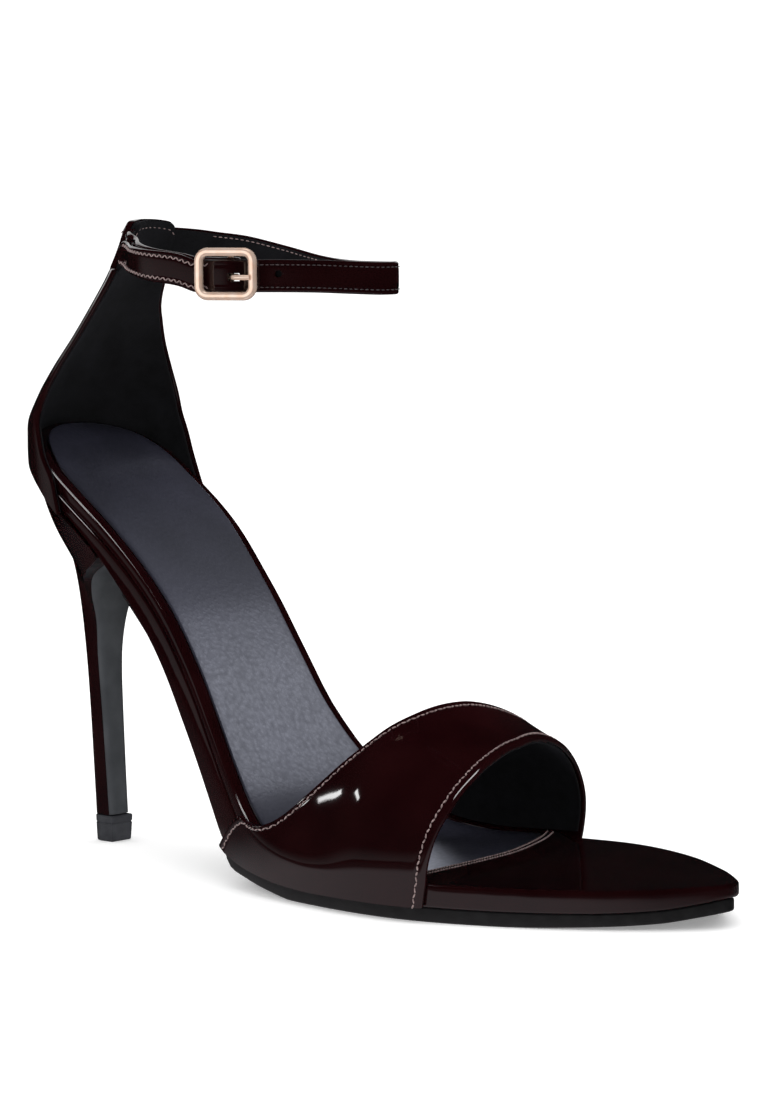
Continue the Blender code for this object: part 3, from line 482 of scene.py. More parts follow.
def make_heel(finish):
    return tube("heel_cover", [heel_section(up) for up in heel_levels(1.0)], finish, 40)


def make_breast(finish):
    """The panel on the heel's front, which sweeps forward under the shank."""
    levels = heel_levels(0.985)
    fronts = [(ring[0], ring[-1]) for ring in (heel_section(up) for up in levels)]
    middle = [((a[0] + b[0]) / 2, (a[2] + b[2]) / 2) for a, b in fronts]
    outer, inner = [], []
    for i, (a, b) in enumerate(fronts):
        before, after = middle[max(i - 1, 0)], middle[min(i + 1, len(middle) - 1)]
        run, climb = after[0] - before[0], after[1] - before[1]
        size = hypot(run, climb)
        normal = (climb / size, -run / size)
        narrow = 1 - PANEL_NARROW * step_between(levels[i], *PANEL_TAPER)
        half = ((b[1] - a[1]) / 2 - PANEL_INSET) * narrow
        near, far = [], []
        for c in range(PANEL_STEPS + 1):
            across = -cos(pi * c / PANEL_STEPS)
            y = (a[1] + b[1]) / 2 + half * across
            depth = PANEL_EDGE + (BREAST_THICK + PANEL_CROWN) * (1 - abs(across) ** PANEL_SQUARE)
            near.append((middle[i][0], y, middle[i][1]))
            far.append((middle[i][0] + normal[0] * depth, y, middle[i][1] + normal[1] * depth))
        inner.append(near)
        outer.append(far)
    return closed_grid("heel_front_panel", outer, inner, finish)


def make_lift(finish):
    """The top lift: a moulded foot with a fine groove round it near its top."""
    section = heel_section(0)
    centre_x = STEM_BACK + STEM_LENGTH / 2
    front = BREAST_THICK + GAP
    rings = []
    for z, grow in (
        (0, -0.35), (0.12, -0.1), (0.4, 0.0), (2.4, 0.12), (4.6, 0.22), (4.75, 0.08), (4.95, 0.08),
        (5.1, 0.25), (LIFT_HEIGHT / MM - 0.25, 0.3), (LIFT_HEIGHT / MM, 0.05),
    ):
        ring = []
        for x, y, _ in section:
            share = (x - STEM_BACK) / STEM_LENGTH
            along = centre_x + (x - centre_x) * (1 + 2 * grow * MM / STEM_LENGTH) + front * share
            ring.append((along, y * (1 + grow * MM / STEM_HALF), z * MM))
        rings.append(ring)
    return tube("moulded_top_lift", rings, finish, 30)


# Heel counter: the CAD's tables
COUNTER = (
    ("up", "back", "half", "lateral", "medial"),
    (-0.470, 0.070, 1.015, 82, 88),
    (-0.264, -0.040, 1.012, 82, 84),
    (-0.113, -0.079, 1.004, 73, 81),
    (0.000, -0.079, 1.000, 68, 77),
    (0.132, 0.042, 0.981, 62, 69),
    (0.283, 0.249, 0.928, 59, 58),
    (0.434, 0.490, 0.845, 58, 47),
    (0.585, 0.706, 0.758, 59, 39),
    (0.736, 0.906, 0.672, 61, 36),
    (0.868, 1.042, 0.611, 61, 36),
    (1.000, 1.151, 0.589, 61, 36),
)
counter_share = {name: curve(COUNTER, name, 0.03) for name in COUNTER[0][1:]}


def counter_at(name, z):
    return counter_share[name]((z - HEEL_RISE) / COUNTER_RISE)


def counter_point(angle, z, inwards):
    """A point of the counter, degrees round from the back, moved in from its outside."""
    half = COUNTER_HALF * counter_at("half", z) - inwards
    turn = radians(angle)
    back = COUNTER_HALF * counter_at("back", z)
    return (back + inwards + half * (1 - cos(turn)), half * sin(turn), z)


CASING_TOP = HEEL_RISE + COUNTER_RISE
CASING_FOOT = STRAP_TOP - STRAP_WIDTH - 3.4 * MM
SIDE_TOP = STRAP_TOP - STRAP_WIDTH - 3.0 * MM
SIDE_ANGLES = {-1: 61, 1: 36}    # degrees round from the back to the counter's edges, lateral and medial
SIDE_BLEND = 12 * MM         # below the casing, over which the edges turn to these angles


def counter_turn(share, z):
    """Degrees round from the back, for a share of the way to the counter's edge on either side."""
    edge = counter_at("lateral" if share < 0 else "medial", z)
    fixed = SIDE_ANGLES[-1 if share < 0 else 1]
    blend = min(max(1 - (CASING_FOOT - z) / SIDE_BLEND, 0), 1)
    return share * (edge * (1 - blend) + fixed * blend)


def counter_foot(share):
    """Height of the counter's lower edge, where it meets the underside of the shank's wrap."""
    x = 0
    for _ in range(5):
        foot = shank_under(max(x, 0))
        x = counter_point(counter_turn(share, foot), foot, 0)[0]
    return foot


def counter_sheet(name, finish, first, last, trim, lift=0.0):
    """One layer of the heel cup, from first to last inwards, its free edges drawn in by trim and rounded."""
    half = (last - first) / 2

    def rim_point(share, t, turn, sides):
        foot = counter_foot(share) + lift
        top = SIDE_TOP - trim
        grow = half * sin(turn)
        z = foot + (top - foot) * t
        angle = counter_turn(share, z)
        if sides[0]:
            radius = COUNTER_HALF * counter_at("half", z)
            angle += sides[0] * (grow - trim) / radius * 180 / pi
        if sides[1] > 0:
            z += grow
        return counter_point(angle, z, first + half * (1 - cos(turn)))

    shares = np.concatenate([np.linspace(-1, 0, 26), np.linspace(0, 1, 22)[1:]])
    ts = np.linspace(0, 1, 40)
    side = lambda i: -1 if i == 0 else 1 if i == len(shares) - 1 else 0
    grids = [
        [[rim_point(s, t, turn, (side(i), 0)) for t in ts] for i, s in enumerate(shares)] for turn in (0, pi)
    ]
    rims = []
    for turn in np.linspace(0, pi, 9)[1:-1]:
        rims.append([
            rim_point(shares[r], ts[c], turn, (side(r), 1 if c == len(ts) - 1 else 0))
            for r, c in around_grid(len(shares), len(ts))
        ])
    return closed_grid(name, grids[0], grids[1], finish, rims, 60)


CASING_MIDDLE = COUNTER_WALL / 2
CASING_SWELL = (2 * CASING_SKIN + STRAP_THICK + 2 * GAP - COUNTER_WALL) / 2
CASING_CORNER = 3.0 * MM
CASING_HALF = 0.59           # the counter's half-width at the casing, of COUNTER_HALF
CASING_LAP = 1.6 * MM        # how far the casing reaches below the strap's channel
CASING_RISE = 3.2 * MM       # over which it swells from its foot
CASING_ROLL = 2.2 * MM       # over which it closes towards its top
CASING_ENDS = 6              # degrees over which it swells from its two ends
END_SWELL, TOP_FLAT = 0.55, 0.35    # the swell left at its ends, and lost at its top, as shares


def casing_top(angle):
    """Top edge of the strap's casing, with its round corners."""
    end = CASING_MEDIAL if angle > 0 else CASING_LATERAL
    left = radians(end - abs(angle)) * COUNTER_HALF * CASING_HALF
    drop = CASING_CORNER - left
    corner = CASING_CORNER - sqrt(max(CASING_CORNER ** 2 - drop ** 2, 0)) if drop > 0 else 0
    return CASING_TOP - CASING_DROP * (angle / CASING_MEDIAL) ** 2 - corner


def casing_sheet(name, finish, outside, trim):
    """One skin of the casing that the strap runs through, swollen round it."""
    angles = np.linspace(-CASING_LATERAL, CASING_MEDIAL, 45)
    ts = [*np.linspace(0, 0.22, 8), *np.linspace(0.26, 0.86, 16), *np.linspace(0.89, 1, 7)]

    def point(angle, t, deep):
        foot = CASING_FOOT - CASING_LAP
        top = casing_top(angle) - trim
        z = foot + (top - foot) * t
        full = CASING_SWELL * step_between(z, foot, foot + CASING_RISE)
        end = min(angle + CASING_LATERAL, CASING_MEDIAL - angle)
        full *= END_SWELL + (1 - END_SWELL) * step_between(end, 0, CASING_ENDS)
        full *= 1 - TOP_FLAT * step_between(z, top - CASING_ROLL, top) ** 2
        across = (COUNTER_WALL / 2 + full) * deep
        return counter_point(angle, z, CASING_MIDDLE + (-across if outside else across))

    skin = [[point(a, t, 1) for t in ts] for a in angles]
    core = [[point(a, t, 0.02) for t in ts] for a in angles]
    return closed_grid(name, skin, core, finish, (), 50)


# Toe band: the CAD's tables
LAST = (
    ("x", "crown", "lateral", "medial"),
    (0.38, 1.060, 1.35, 1.55),
    (0.48, 1.045, 1.40, 1.60),
    (0.56, 1.000, 1.50, 1.70),
    (0.60, 0.940, 1.65, 1.75),
    (0.64, 0.862, 2.00, 1.80),
    (0.69, 0.730, 2.30, 1.80),
    (0.75, 0.630, 2.60, 1.80),
    (0.78, 0.600, 2.60, 1.80),
)
BAND = (
    ("round", "back", "front"),
    (0.00, 0.394, 0.729),
    (0.08, 0.445, 0.733),
    (0.15, 0.502, 0.740),
    (0.25, 0.570, 0.750),
    (0.32, 0.610, 0.752),
    (0.40, 0.636, 0.748),
    (0.50, 0.647, 0.733),
    (0.60, 0.652, 0.712),
    (0.66, 0.645, 0.701),
    (0.71, 0.610, 0.690),
    (0.76, 0.558, 0.681),
    (0.82, 0.510, 0.672),
    (0.92, 0.455, 0.658),
    (1.00, 0.420, 0.653),
)
FLANK = 0.08                 # share of the way round that the band lies beside the sole, on either side
CROWN_OFF_AXIS = -5 * MM
ARCH_START = 0.5 * MM        # how far above the footbed the band's arch starts
crown, arch_lateral, arch_medial = (curve(LAST, name, 0.06) for name in LAST[0][1:])
band_back, band_front = (curve(BAND, name, 0.02) for name in BAND[0][1:])


def last_point(x, around, inwards):
    """A point of the forefoot's last, moved in from the band's outside."""
    side = 0 if around < 0.5 else 1
    sign = -1 if side == 0 else 1
    reach = half_width(x, side) + GAP + BAND_WALL - inwards
    rim = footbed_top(x) + ARCH_START
    foot = shank_under(x)
    from_foot = around if side == 0 else 1 - around
    if from_foot < FLANK:
        return (x, sign * reach, foot + (rim - foot) * from_foot / FLANK)
    turn = pi / 2 * (from_foot - FLANK) / (0.5 - FLANK)
    power = (arch_lateral if side == 0 else arch_medial)(x / LENGTH)
    tall = BAND_RISE * crown(x / LENGTH) - inwards
    across = abs(cos(turn)) ** (2 / power)
    y = sign * reach * across + CROWN_OFF_AXIS * (1 - across)
    return (x, y, rim + tall * abs(sin(turn)) ** (2 / power))


STITCH_IN = 1.9 * MM         # the band's stitch rows from its folded edges
GROOVE = 0.13 * MM           # how deep the thread pulls the leather down
GROOVE_HALF = 0.45 * MM      # and half the width of that groove
EDGE_STEPS = [0, 0.35, 0.8, 1.2, 1.5, 1.7, 1.9, 2.1, 2.3, 2.6, 3.1, 4.0]    # millimetres from an edge


def band_sheet(name, finish, first, last, trim, rounds, groove=0.0):
    """One layer of the toe band with rounded edges, from first to last inwards."""
    half = (last - first) / 2
    places, outer, inner = [], [], []
    for around in rounds:
        back = band_back(around) * LENGTH + trim + half
        front = band_front(around) * LENGTH - trim - half
        low = [back + s * MM for s in EDGE_STEPS]
        high = [front - s * MM for s in EDGE_STEPS[::-1]]
        xs = [*low, *np.linspace(low[-1], high[0], 26)[1:-1], *high]
        places.append(xs)
        sewn = (back - half + STITCH_IN, front + half - STITCH_IN)
        dip = lambda x: groove * sum(np.exp(-(((x - edge) / GROOVE_HALF) ** 2)) for edge in sewn)
        outer.append([last_point(x, around, first + dip(x)) for x in xs])
        inner.append([last_point(x, around, last) for x in xs])
    rims = []
    loop = around_grid(len(rounds), len(places[0]))
    for turn in np.linspace(0, pi, 9)[1:-1]:
        rim = []
        for r, c in loop:
            grow = -1 if c == 0 else 1 if c == len(places[0]) - 1 else 0
            x = places[r][c] + grow * half * sin(turn)
            rim.append(last_point(x, rounds[r], first + half * (1 - cos(turn))))
        rims.append(rim)
    return closed_grid(name, outer, inner, finish, rims, 60)


# Ankle strap: the CAD's route
BASE_ROUTE = (
    ("along", "aside", "drop"),
    (0.455, -0.995, 0.74),
    (0.320, -0.965, 0.58),
    (0.215, -0.800, 0.43),
    (0.134, -0.588, 0.28),
    (0.077, -0.499, 0.16),
    (0.024, -0.304, 0.05),
    (0.000, 0.000, 0.00),
    (0.024, 0.304, 0.03),
    (0.077, 0.499, 0.10),
    (0.134, 0.588, 0.18),
    (0.215, 0.790, 0.32),
    (0.330, 0.960, 0.63),
    (0.470, 0.975, 0.93),
    (0.620, 0.830, 1.04),
    (0.780, 0.590, 1.04),
    (0.900, 0.370, 1.02),
    (0.972, 0.180, 1.00),
)
FRONT_BEND = (("along", "aside", "drop"), (1.000, 0.030, 1.00), (0.985, -0.120, 1.00))
OUTER_ROUTE = (("along", "aside", "drop"), (0.920, -0.290, 0.97), (0.840, -0.480, 0.93))
BUCKLE_ALONG, BUCKLE_ASIDE, BUCKLE_DROP = 0.605, -0.860, 0.85
BUCKLE_TURN = radians(24)
STRAP_LEAN = (("along", "lean"), (0.0, 0.47), (0.08, 0.36), (0.16, 0.16), (0.26, 0.0), (1.0, 0.0))
strap_lean = curve(STRAP_LEAN, "lean", 0.03)


def strap_up(point):
    """The direction up the strap's face: it leans forward round the back of the ankle."""
    return Vector((strap_lean((point[0] - LOOP_BACK) / LOOP_LENGTH), 0, 1))


def route_point(row):
    along, aside, drop = row
    return (LOOP_BACK + LOOP_LENGTH * along, LOOP_HALF * aside, STRAP_TOP - STRAP_WIDTH * (0.5 + drop))


BUCKLE_AT = Vector(route_point((BUCKLE_ALONG, BUCKLE_ASIDE, BUCKLE_DROP)))
BUCKLE_RUN = Vector((cos(BUCKLE_TURN), sin(BUCKLE_TURN), 0))
BUCKLE_OUT = Vector((sin(BUCKLE_TURN), -cos(BUCKLE_TURN), 0))


def by_buckle(run, out, up=0.0):
    """A point placed from the buckle's centre bar, in millimetres along the strap, outwards and up."""
    return tuple(BUCKLE_AT + (BUCKLE_RUN * run + BUCKLE_OUT * out + Vector((0, 0, up))) * MM)


LAYER = STRAP_THICK + GAP    # from one layer of strap to the next
WRAP = BAR_RADIUS + GAP + STRAP_THICK / 2    # from the centre bar to the middle of the strap round it
WINDOW_SINK = 0.55           # millimetres, how far the strap settles in the buckle's window
TAIL_CLEAR = 0.05 * MM       # the tail over the strap, beyond one layer
TAIL_SINK = 0.8 * MM         # the tail's end hangs this much lower than the strap under it
TAIL_TIP = 0.76              # and is this share of the strap's width
STRAP_STEPS = 9              # points of the strap's line between two points of its route


def tail_points():
    """The tail lies one layer outside the base strap, to just past the side of the heel."""
    rows = [route_point(row) for row in BASE_ROUTE[1:7]]
    points = []
    for i, row in enumerate(rows[:5]):
        before, after = Vector(rows[max(i - 1, 0)]), Vector(rows[i + 1])
        run = after - before
        out = Vector((run.y, -run.x, 0)).normalized()
        if out.y > 0:
            out = -out
        sunk = Vector((0, 0, -TAIL_SINK * i / 4))
        points.append(tuple(Vector(row) + out * (LAYER + TAIL_CLEAR) + sunk))
    return points


def strap_parts():
    """The strap's route in parts: the fold at the bar, round the ankle, through the buckle, and the tail."""
    w, t, layer = WRAP / MM, (WRAP + LAYER) / MM, LAYER / MM
    fold = [by_buckle(*p) for p in (
        (-9.5, -w - 0.95), (-6.0, -w - 0.75), (-2.6, -w - 0.25), (0, -w), (0.72 * w, -0.72 * w), (w, 0),
        (0.70 * w, 0.72 * w), (0, w), (-1.6, 0.86 * w), (-3.4, 0.35 * w), (-5.6, -0.15 * w),
        (-8.5, -0.42 * w),
    )]
    rounded = [route_point(row) for row in (*BASE_ROUTE[1:], *FRONT_BEND[1:], *OUTER_ROUTE[1:])]
    window = [by_buckle(*p, -WINDOW_SINK) for p in (
        (13.5, 0.35), (9.3, 0.7), (6.9, 1.1), (5.2, 1.6), (3.7, 2.5), (1.8, t - 0.2), (0, t), (-1.7, t - 0.2),
        (-3.5, 2.65), (-5.2, 1.75), (-6.9, 1.4), (-8.8, -0.42 * w + layer + 0.12),
    )]
    return fold, rounded, window, tail_points()


STRAP_PARTS = strap_parts()
STRAP_LINE = through([p for part in STRAP_PARTS for p in part], STRAP_STEPS)
PART_STARTS = np.cumsum([0, *(len(part) for part in STRAP_PARTS)]) * STRAP_STEPS
STRAP_STITCH = 1.25 * MM     # the strap's stitch rows from its edges
STRAP_EDGE = 0.6 * MM        # radius of its folded edges
STRAP_SWELL = 0.1 * MM       # how far its middle stands proud, and how deep its stitch rows lie
STRAP_GROOVE = 0.4 * MM      # half the width of their grooves
TIP_ROUND, TIP_LEAST = 2.6, 0.02    # how full the tail's rounded tip is, and how little is left of its end


def ribbon_axes(line, i):
    """Outward (towards the ankle on the way back) and upward directions of the strap at one point."""
    run = Vector(line[min(i + 1, len(line) - 1)]) - Vector(line[max(i - 1, 0)])
    return Vector((run.y, -run.x, 0)).normalized(), strap_up(line[i])


def tail_width(i):
    """Width of the strap at one point of its line, as a share: the tail narrows towards its tip."""
    return 1 - (1 - TAIL_TIP) * step_between(i, PART_STARTS[3], len(STRAP_LINE) - 1)


def ribbon(name, line, finish, section, round_end=0.0):
    """A strip on edge along a line; section gives its outline as (towards the ankle, up) in metres."""
    rings = []
    lengths = np.concatenate([[0], np.cumsum(np.linalg.norm(np.diff(line, axis=0), axis=1))])
    for i, here in enumerate(line):
        out, up = ribbon_axes(line, i)
        left = lengths[-1] - lengths[i]
        squeeze = tail_width(i) if round_end else 1
        if round_end and left < round_end:
            squeeze *= sqrt(max(1 - (1 - left / round_end) ** TIP_ROUND, TIP_LEAST))
        rings.append([tuple(Vector(here) + out * a + up * b * squeeze) for a, b in section])
    return tube(name, rings, finish, 50)


def strap_section():
    """The strap's outline: rounded folded edges and a shallow groove under each stitch row."""
    half, thick = STRAP_WIDTH / 2, STRAP_THICK / 2
    face = []
    for up in np.linspace(-half + STRAP_EDGE, half - STRAP_EDGE, 25):
        groove = sum(np.exp(-(((up - s * (half - STRAP_STITCH)) / STRAP_GROOVE) ** 2)) for s in (-1, 1))
        swell = STRAP_SWELL * (1 - (up / half) ** 2)
        face.append((thick - STRAP_SWELL + swell - STRAP_SWELL * groove, up))
    turns = [radians(a) for a in ARC_TURNS]
    top = [((thick - STRAP_SWELL) * cos(a), half - STRAP_EDGE + STRAP_EDGE * sin(a)) for a in turns]
    ankle = face + top
    other = [(-a, b) for a, b in ankle[::-1]]
    low = [(a, -b) for a, b in top]
    return ankle + other + [(-a, b) for a, b in low] + low[::-1]


# Finishes
def linear(code):
    """An sRGB hex colour as the linear one that a shader takes."""
    parts = [int(code[i:i + 2], 16) / 255 for i in (1, 3, 5)]
    return (*((p / 12.92 if p <= 0.04045 else ((p + 0.055) / 1.055) ** 2.4) for p in parts), 1)


def feed(tree, node, inputs):
    """Gives a node its inputs: each is a value, or a socket to link from."""
    for name, value in dict(inputs).items():
        if isinstance(value, bpy.types.NodeSocket):
            tree.links.new(value, node.inputs[name])
        else:
            node.inputs[name].default_value = value


def add(tree, kind, inputs=(), **settings):
    """Adds a node with its settings, then its inputs."""
    made = tree.nodes.new(kind)
    for name, value in settings.items():
        setattr(made, name, value)
    feed(tree, made, inputs)
    return made


def new_finish(name, values):
    """A material with its shader's constants set, and its Object coordinates."""
    made = bpy.data.materials.new(name)
    made.use_nodes = True
    tree = made.node_tree
    shader = tree.nodes["Principled BSDF"]
    feed(tree, shader, values)
    here = add(tree, "ShaderNodeTexCoord").outputs["Object"]
    return made, tree, shader, here


def two_tones(tree, shader, mask, low, high):
    """Colour between two tones by a mask."""
    ramp = add(tree, "ShaderNodeValToRGB", {"Fac": mask})
    for end, position, code in zip(ramp.color_ramp.elements, (0.3, 0.7), (low, high)):
        end.position = position
        end.color = linear(code)
    feed(tree, shader, {"Base Color": ramp.outputs["Color"]})


def clouded_finish(name, values, tones, clouds, relief=(), grain=None):
    """A finish in two tones over clouds; relief is (strength, depth), of its grain or else of its clouds."""
    made, tree, shader, here = new_finish(name, values)
    cloud = add(tree, "ShaderNodeTexNoise", {"Vector": here, **clouds})
    two_tones(tree, shader, cloud.outputs["Fac"], *tones)
    if relief:
        raised = add(tree, "ShaderNodeTexNoise", {"Vector": here, **grain}) if grain else cloud
        bump = add(tree, "ShaderNodeBump", {
            "Strength": relief[0], "Distance": relief[1], "Height": raised.outputs["Fac"],
        })
        feed(tree, shader, {"Normal": bump.outputs["Normal"]})
    return made


def grained_lining():
    # Coated insole leather with a printed pebble grain: slate grey with a soft sheen, grains of about 1 mm.
    made, tree, shader, here = new_finish("grained_insole_leather", {
        "Roughness": 0.38, "IOR": 1.5, "Specular IOR Level": 0.5,
    })
    cloud = add(tree, "ShaderNodeTexNoise", {"Vector": here, "Scale": 40.0, "Detail": 3.0})    # 25 mm clouds
    two_tones(tree, shader, cloud.outputs["Fac"], "#1c1c25", "#282833")
    warp = add(tree, "ShaderNodeTexNoise", {"Vector": here, "Scale": 350.0, "Detail": 2.0})    # 3 mm wander
    pull = add(tree, "ShaderNodeVectorMath", {
        0: warp.outputs["Color"], 1: (1.2 * MM,) * 3,
    }, operation="MULTIPLY")
    place = add(tree, "ShaderNodeVectorMath", {0: here, 1: pull.outputs[0]}, operation="ADD")
    grain = add(tree, "ShaderNodeTexVoronoi", {
        "Vector": place.outputs[0], "Scale": 900.0,
    }, feature="SMOOTH_F1")
    bump = add(tree, "ShaderNodeBump", {
        "Strength": 0.26, "Distance": 0.12 * MM, "Height": grain.outputs["Distance"],
    }, invert=True)
    rough = add(tree, "ShaderNodeMapRange", {
        "Value": grain.outputs["Distance"], "To Min": 0.30, "To Max": 0.42,
    })
    feed(tree, shader, {"Normal": bump.outputs["Normal"], "Roughness": rough.outputs["Result"]})
    return made


# Patent leather: hide under a cast polyurethane film. Nearly black oxblood, in clouds of 18 mm, with a mirror
# gloss that wavers a little over the hide, in waves of 11 mm.
patent = clouded_finish(
    "patent_leather_oxblood",
    {"Roughness": 0.06, "IOR": 1.5, "Coat Weight": 0.25, "Coat Roughness": 0.03, "Coat IOR": 1.5},
    ("#0f0203", "#170506"), {"Scale": 55.0, "Detail": 2.0},
    (0.35, 0.25 * MM), {"Scale": 90.0, "Detail": 1.0},
)
grained = grained_lining()
# Microfibre suede: short nap brushed to and fro, in tufts of 0.6 mm, so it is matt, blue-black and faintly
# cloudy.
suede = clouded_finish(
    "microfibre_suede",
    {
        "Roughness": 0.88, "Sheen Weight": 0.12, "Sheen Roughness": 0.5, "Sheen Tint": linear("#8a8c9a"),
        "Specular IOR Level": 0.25,
    },
    ("#08080a", "#111115"), {"Scale": 120.0, "Detail": 6.0, "Roughness": 0.65},
    (0.6, 0.12 * MM), {"Scale": 1600.0, "Detail": 3.0},
)
# Coated leather of the heel's front, satin dark grey with a grain of 0.5 mm, too fine to see singly.
satin = clouded_finish(
    "satin_heel_leather", {"Roughness": 0.42, "IOR": 1.5},
    ("#2e3033", "#393b3e"), {"Scale": 150.0, "Detail": 4.0},
    (0.3, 0.05 * MM), {"Scale": 2200.0, "Detail": 2.0},
)
# Moulded polyurethane top lift, plain dark grey with a dull mould skin.
lift_finish = clouded_finish(
    "moulded_polyurethane", {"Roughness": 0.5, "IOR": 1.5},
    ("#292a2e", "#343539"), {"Scale": 400.0, "Detail": 3.0}, (0.2, 0.05 * MM),
)
# Black rubber sole, buffed: matt, with faint lighter scuffs of 3 mm and a grain of 0.7 mm.
rubber = clouded_finish(
    "buffed_sole_rubber", {"Roughness": 0.55, "IOR": 1.5},
    ("#0b0b0d", "#161618"), {"Scale": 300.0, "Detail": 5.0},
    (0.4, 0.06 * MM), {"Scale": 1500.0, "Detail": 3.0},
)
# Rose gold plate on a cast buckle: pale pink metal, polished, with fine polishing waves.
gold = clouded_finish(
    "rose_gold_plate", {"Metallic": 0.65, "Roughness": 0.2},
    ("#f3cdb5", "#fae0cf"), {"Scale": 500.0, "Detail": 3.0}, (0.25, 0.05 * MM),
)
# Polyester sewing thread with a slight lustre and a twist of 0.7 mm: dusty rose grey, and the lining's grey.
# Most of its stitches are drawn a little thicker than its 0.3 mm, to show.
twist = {"Scale": 1400.0, "Detail": 1.0}
lustre = {"Roughness": 0.45, "Sheen Weight": 0.2}
thread = clouded_finish("polyester_thread", lustre, ("#6e5a59", "#9a8482"), twist)
grey_thread = clouded_finish("grey_polyester_thread", lustre, ("#2a2527", "#453d3f"), twist)


# Stitches
def stitch_tree():
    """A row of stitches along each path: a small thread capsule every Spacing, leaning by Tilt to and fro."""
    tree = bpy.data.node_groups.new("stitch_rows", "GeometryNodeTree")
    face = tree.interface
    face.new_socket("Geometry", in_out="INPUT", socket_type="NodeSocketGeometry")
    for name, kind, value in (
        ("Spacing", "NodeSocketFloat", 1.2 * MM), ("Length", "NodeSocketFloat", 0.9 * MM),
        ("Thickness", "NodeSocketFloat", 0.3 * MM), ("Tilt", "NodeSocketFloat", 0.0),
        ("Seed", "NodeSocketInt", 7),
    ):
        face.new_socket(name, in_out="INPUT", socket_type=kind).default_value = value
    face.new_socket("Thread", in_out="INPUT", socket_type="NodeSocketMaterial")
    face.new_socket("Geometry", in_out="OUTPUT", socket_type="NodeSocketGeometry")
    given = add(tree, "NodeGroupInput").outputs
    path = add(tree, "GeometryNodeMeshToCurve", {"Mesh": given["Geometry"]})
    dots = add(tree, "GeometryNodeCurveToPoints", {
        "Curve": path.outputs[0], "Length": given["Spacing"],
    }, mode="LENGTH")
    along = add(tree, "FunctionNodeAlignRotationToVector", {"Vector": dots.outputs["Tangent"]}, axis="Z")
    out = add(tree, "GeometryNodeInputNamedAttribute", {"Name": "out"}, data_type="FLOAT_VECTOR")
    facing = add(tree, "FunctionNodeAlignRotationToVector", {
        "Rotation": along.outputs[0], "Vector": out.outputs["Attribute"],
    }, axis="X", pivot_axis="Z")
    count = add(tree, "GeometryNodeInputIndex")
    odd = add(tree, "ShaderNodeMath", {0: count.outputs[0], 1: 2.0}, operation="MODULO")
    sign = add(tree, "ShaderNodeMath", {0: odd.outputs[0], 1: 2.0, 2: -1.0}, operation="MULTIPLY_ADD")
    lean = add(tree, "ShaderNodeMath", {0: sign.outputs[0], 1: given["Tilt"]}, operation="MULTIPLY")
    turn = add(tree, "FunctionNodeAxisAngleToRotation", {"Axis": (1, 0, 0), "Angle": lean.outputs[0]})
    tilted = add(tree, "FunctionNodeRotateRotation", {
        "Rotation": facing.outputs[0], "Rotate By": turn.outputs[0],
    }, rotation_space="LOCAL")
    vary = add(tree, "FunctionNodeRandomValue", {
        "Min": (0.9, 0.9, 0.85), "Max": (1.1, 1.1, 1.1), "Seed": given["Seed"],
    }, data_type="FLOAT_VECTOR")
    size = add(tree, "ShaderNodeCombineXYZ", {
        "X": given["Thickness"], "Y": given["Thickness"], "Z": given["Length"],
    })
    bead = add(tree, "GeometryNodeMeshUVSphere", {"Segments": 6, "Rings": 5, "Radius": 0.5})
    thread = add(tree, "GeometryNodeTransform", {"Geometry": bead.outputs["Mesh"], "Scale": size.outputs[0]})
    rows = add(tree, "GeometryNodeInstanceOnPoints", {
        "Points": dots.outputs["Points"], "Instance": thread.outputs[0], "Rotation": tilted.outputs[0],
        "Scale": vary.outputs["Value"],
    })
    real = add(tree, "GeometryNodeRealizeInstances", {"Geometry": rows.outputs[0]})
    soft = add(tree, "GeometryNodeSetShadeSmooth", {"Geometry": real.outputs[0]})
    sewn = add(tree, "GeometryNodeSetMaterial", {"Geometry": soft.outputs[0], "Material": given["Thread"]})
    add(tree, "NodeGroupOutput", {"Geometry": sewn.outputs[0]})
    return tree


def sew(name, tree, rows, thread, **sizes):
    """Stitches along rows of (point, outward direction), made a plain mesh."""
    points, outs, edges = [], [], []
    for row in rows:
        first = len(points)
        points += [Vector(p) + SHIFT for p, _ in row]
        outs += [tuple(o) for _, o in row]
        edges += [(first + i, first + i + 1) for i in range(len(row) - 1)]
    mesh = bpy.data.meshes.new(name + "_path")
    mesh.from_pydata([tuple(p) for p in points], edges, [])
    attribute = mesh.attributes.new("out", "FLOAT_VECTOR", "POINT")
    attribute.data.foreach_set("vector", np.array(outs, float).ravel())
    path = put(name + "_path", mesh)
    change = path.modifiers.new("rows", "NODES")
    change.node_group = tree
    names = {item.name: item.identifier for item in tree.interface.items_tree if item.in_out == "INPUT"}
    change[names["Thread"]] = thread
    for key, value in sizes.items():
        change[names[key]] = value
    graph = bpy.context.evaluated_depsgraph_get()
    sewn = bpy.data.meshes.new_from_object(path.evaluated_get(graph))
    path.modifiers.remove(change)
    bpy.data.objects.remove(path)
    sewn.name = name
    return put(name, sewn)


BAND_THREAD_UP = 0.06 * MM   # the band's threads over the bottom of their groove
SEAM_THREAD_UP = 0.05 * MM   # the cross seam's threads over the toe cover


def band_row(edge, sign):
    """A stitch row along the band's back or front edge."""
    row = []
    for around in np.linspace(0.004, 0.996, 260):
        x = edge(around) * LENGTH + sign * STITCH_IN
        here, over = (Vector(last_point(x, around, GROOVE - off)) for off in (0.0, 0.3 * MM))
        out = (over - here).normalized()
        row.append((here + out * BAND_THREAD_UP, out))
    return row


def strap_row(first, last, up, side, lift=0.04 * MM):
    """A stitch row on the strap between two points of its line; side is -1 on the patent face."""
    row = []
    for i in range(first, last):
        out, rise = ribbon_axes(STRAP_LINE, i)
        here = Vector(STRAP_LINE[i]) + rise * up * tail_width(i) + out * side * (STRAP_THICK / 2 + lift)
        row.append((here, out * side))
    return row


